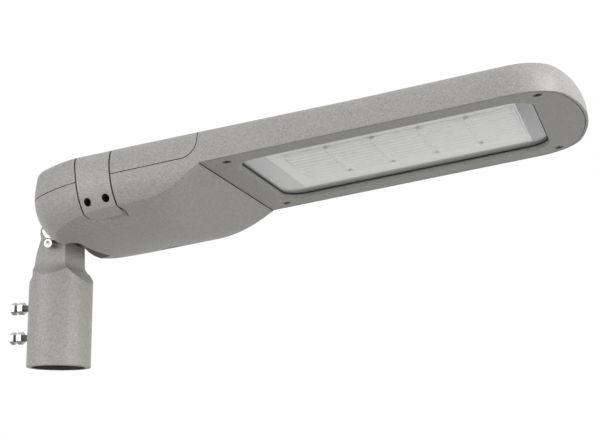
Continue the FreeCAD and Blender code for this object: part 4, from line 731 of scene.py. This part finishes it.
def makeFloor():
    mesh = bmesh.new()
    bmesh.ops.create_circle(mesh, cap_ends=True, segments=studio["floorSides"],
                            radius=studio["floorReach"])
    bmesh.ops.translate(mesh, vec=(*studio["middle"], studio["floorLevel"]), verts=mesh.verts)
    data = bpy.data.meshes.new("studioFloor")
    mesh.to_mesh(data)
    mesh.free()
    data.materials.append(floorFinish())
    floor = bpy.data.objects.new("studioFloor", data)
    bpy.context.scene.collection.objects.link(floor)


def makeWorld():
    # white where it is seen or mirrored, dimmer as the light that falls on the object
    world = bpy.data.worlds.new("studioWorld")
    world.use_nodes = True
    bpy.context.scene.world = world
    tree = world.node_tree
    tree.nodes.clear()
    path = put(tree, "ShaderNodeLightPath").outputs
    shown = chain(tree, "MAXIMUM", path["Is Camera Ray"], path["Is Glossy Ray"],
                  path["Is Transmission Ray"])
    soft = put(tree, "ShaderNodeBackground", {0: studio["ambientTone"], 1: studio["ambient"]})
    white = put(tree, "ShaderNodeBackground", {0: (1, 1, 1, 1), 1: 1.0})
    mix = put(tree, "ShaderNodeMixShader", {0: shown, 1: soft.outputs[0], 2: white.outputs[0]})
    put(tree, "ShaderNodeOutputWorld", {0: mix.outputs[0]})


def makeLamp(name, look):
    light = bpy.data.lights.new(name, "AREA")
    light.size = look["size"]
    light.energy = look["power"]
    lamp = bpy.data.objects.new(name, light)
    lamp.location = look["at"]
    aim = Vector((*studio["middle"], studio["aimHeight"])) - lamp.location
    lamp.rotation_euler = aim.to_track_quat("-Z", "Y").to_euler()
    lamp.visible_camera = False
    bpy.context.scene.collection.objects.link(lamp)


makeFloor()
makeWorld()
for name, look in lamps.items():
    makeLamp(name, look)
print("studio made")

# the camera stands where the photograph was taken from
photoCamera = {
    "at": (0.71501, -1.38520, -0.13927), "turn": (0.62510, 0.76667, 0.11492, 0.09088),
    "lens": 78.13, "sensor": 36.0, "clipStart": 0.01,
}
cameraData = bpy.data.cameras.new("photoCamera")
cameraData.lens = photoCamera["lens"]
cameraData.sensor_width = photoCamera["sensor"]
cameraData.clip_start = photoCamera["clipStart"]
camera = bpy.data.objects.new("photoCamera", cameraData)
camera.rotation_mode = "QUATERNION"
camera.location = photoCamera["at"]
camera.rotation_quaternion = photoCamera["turn"]
bpy.context.scene.collection.objects.link(camera)
bpy.context.scene.camera = camera
bpy.context.scene.view_settings.view_transform = "Standard"
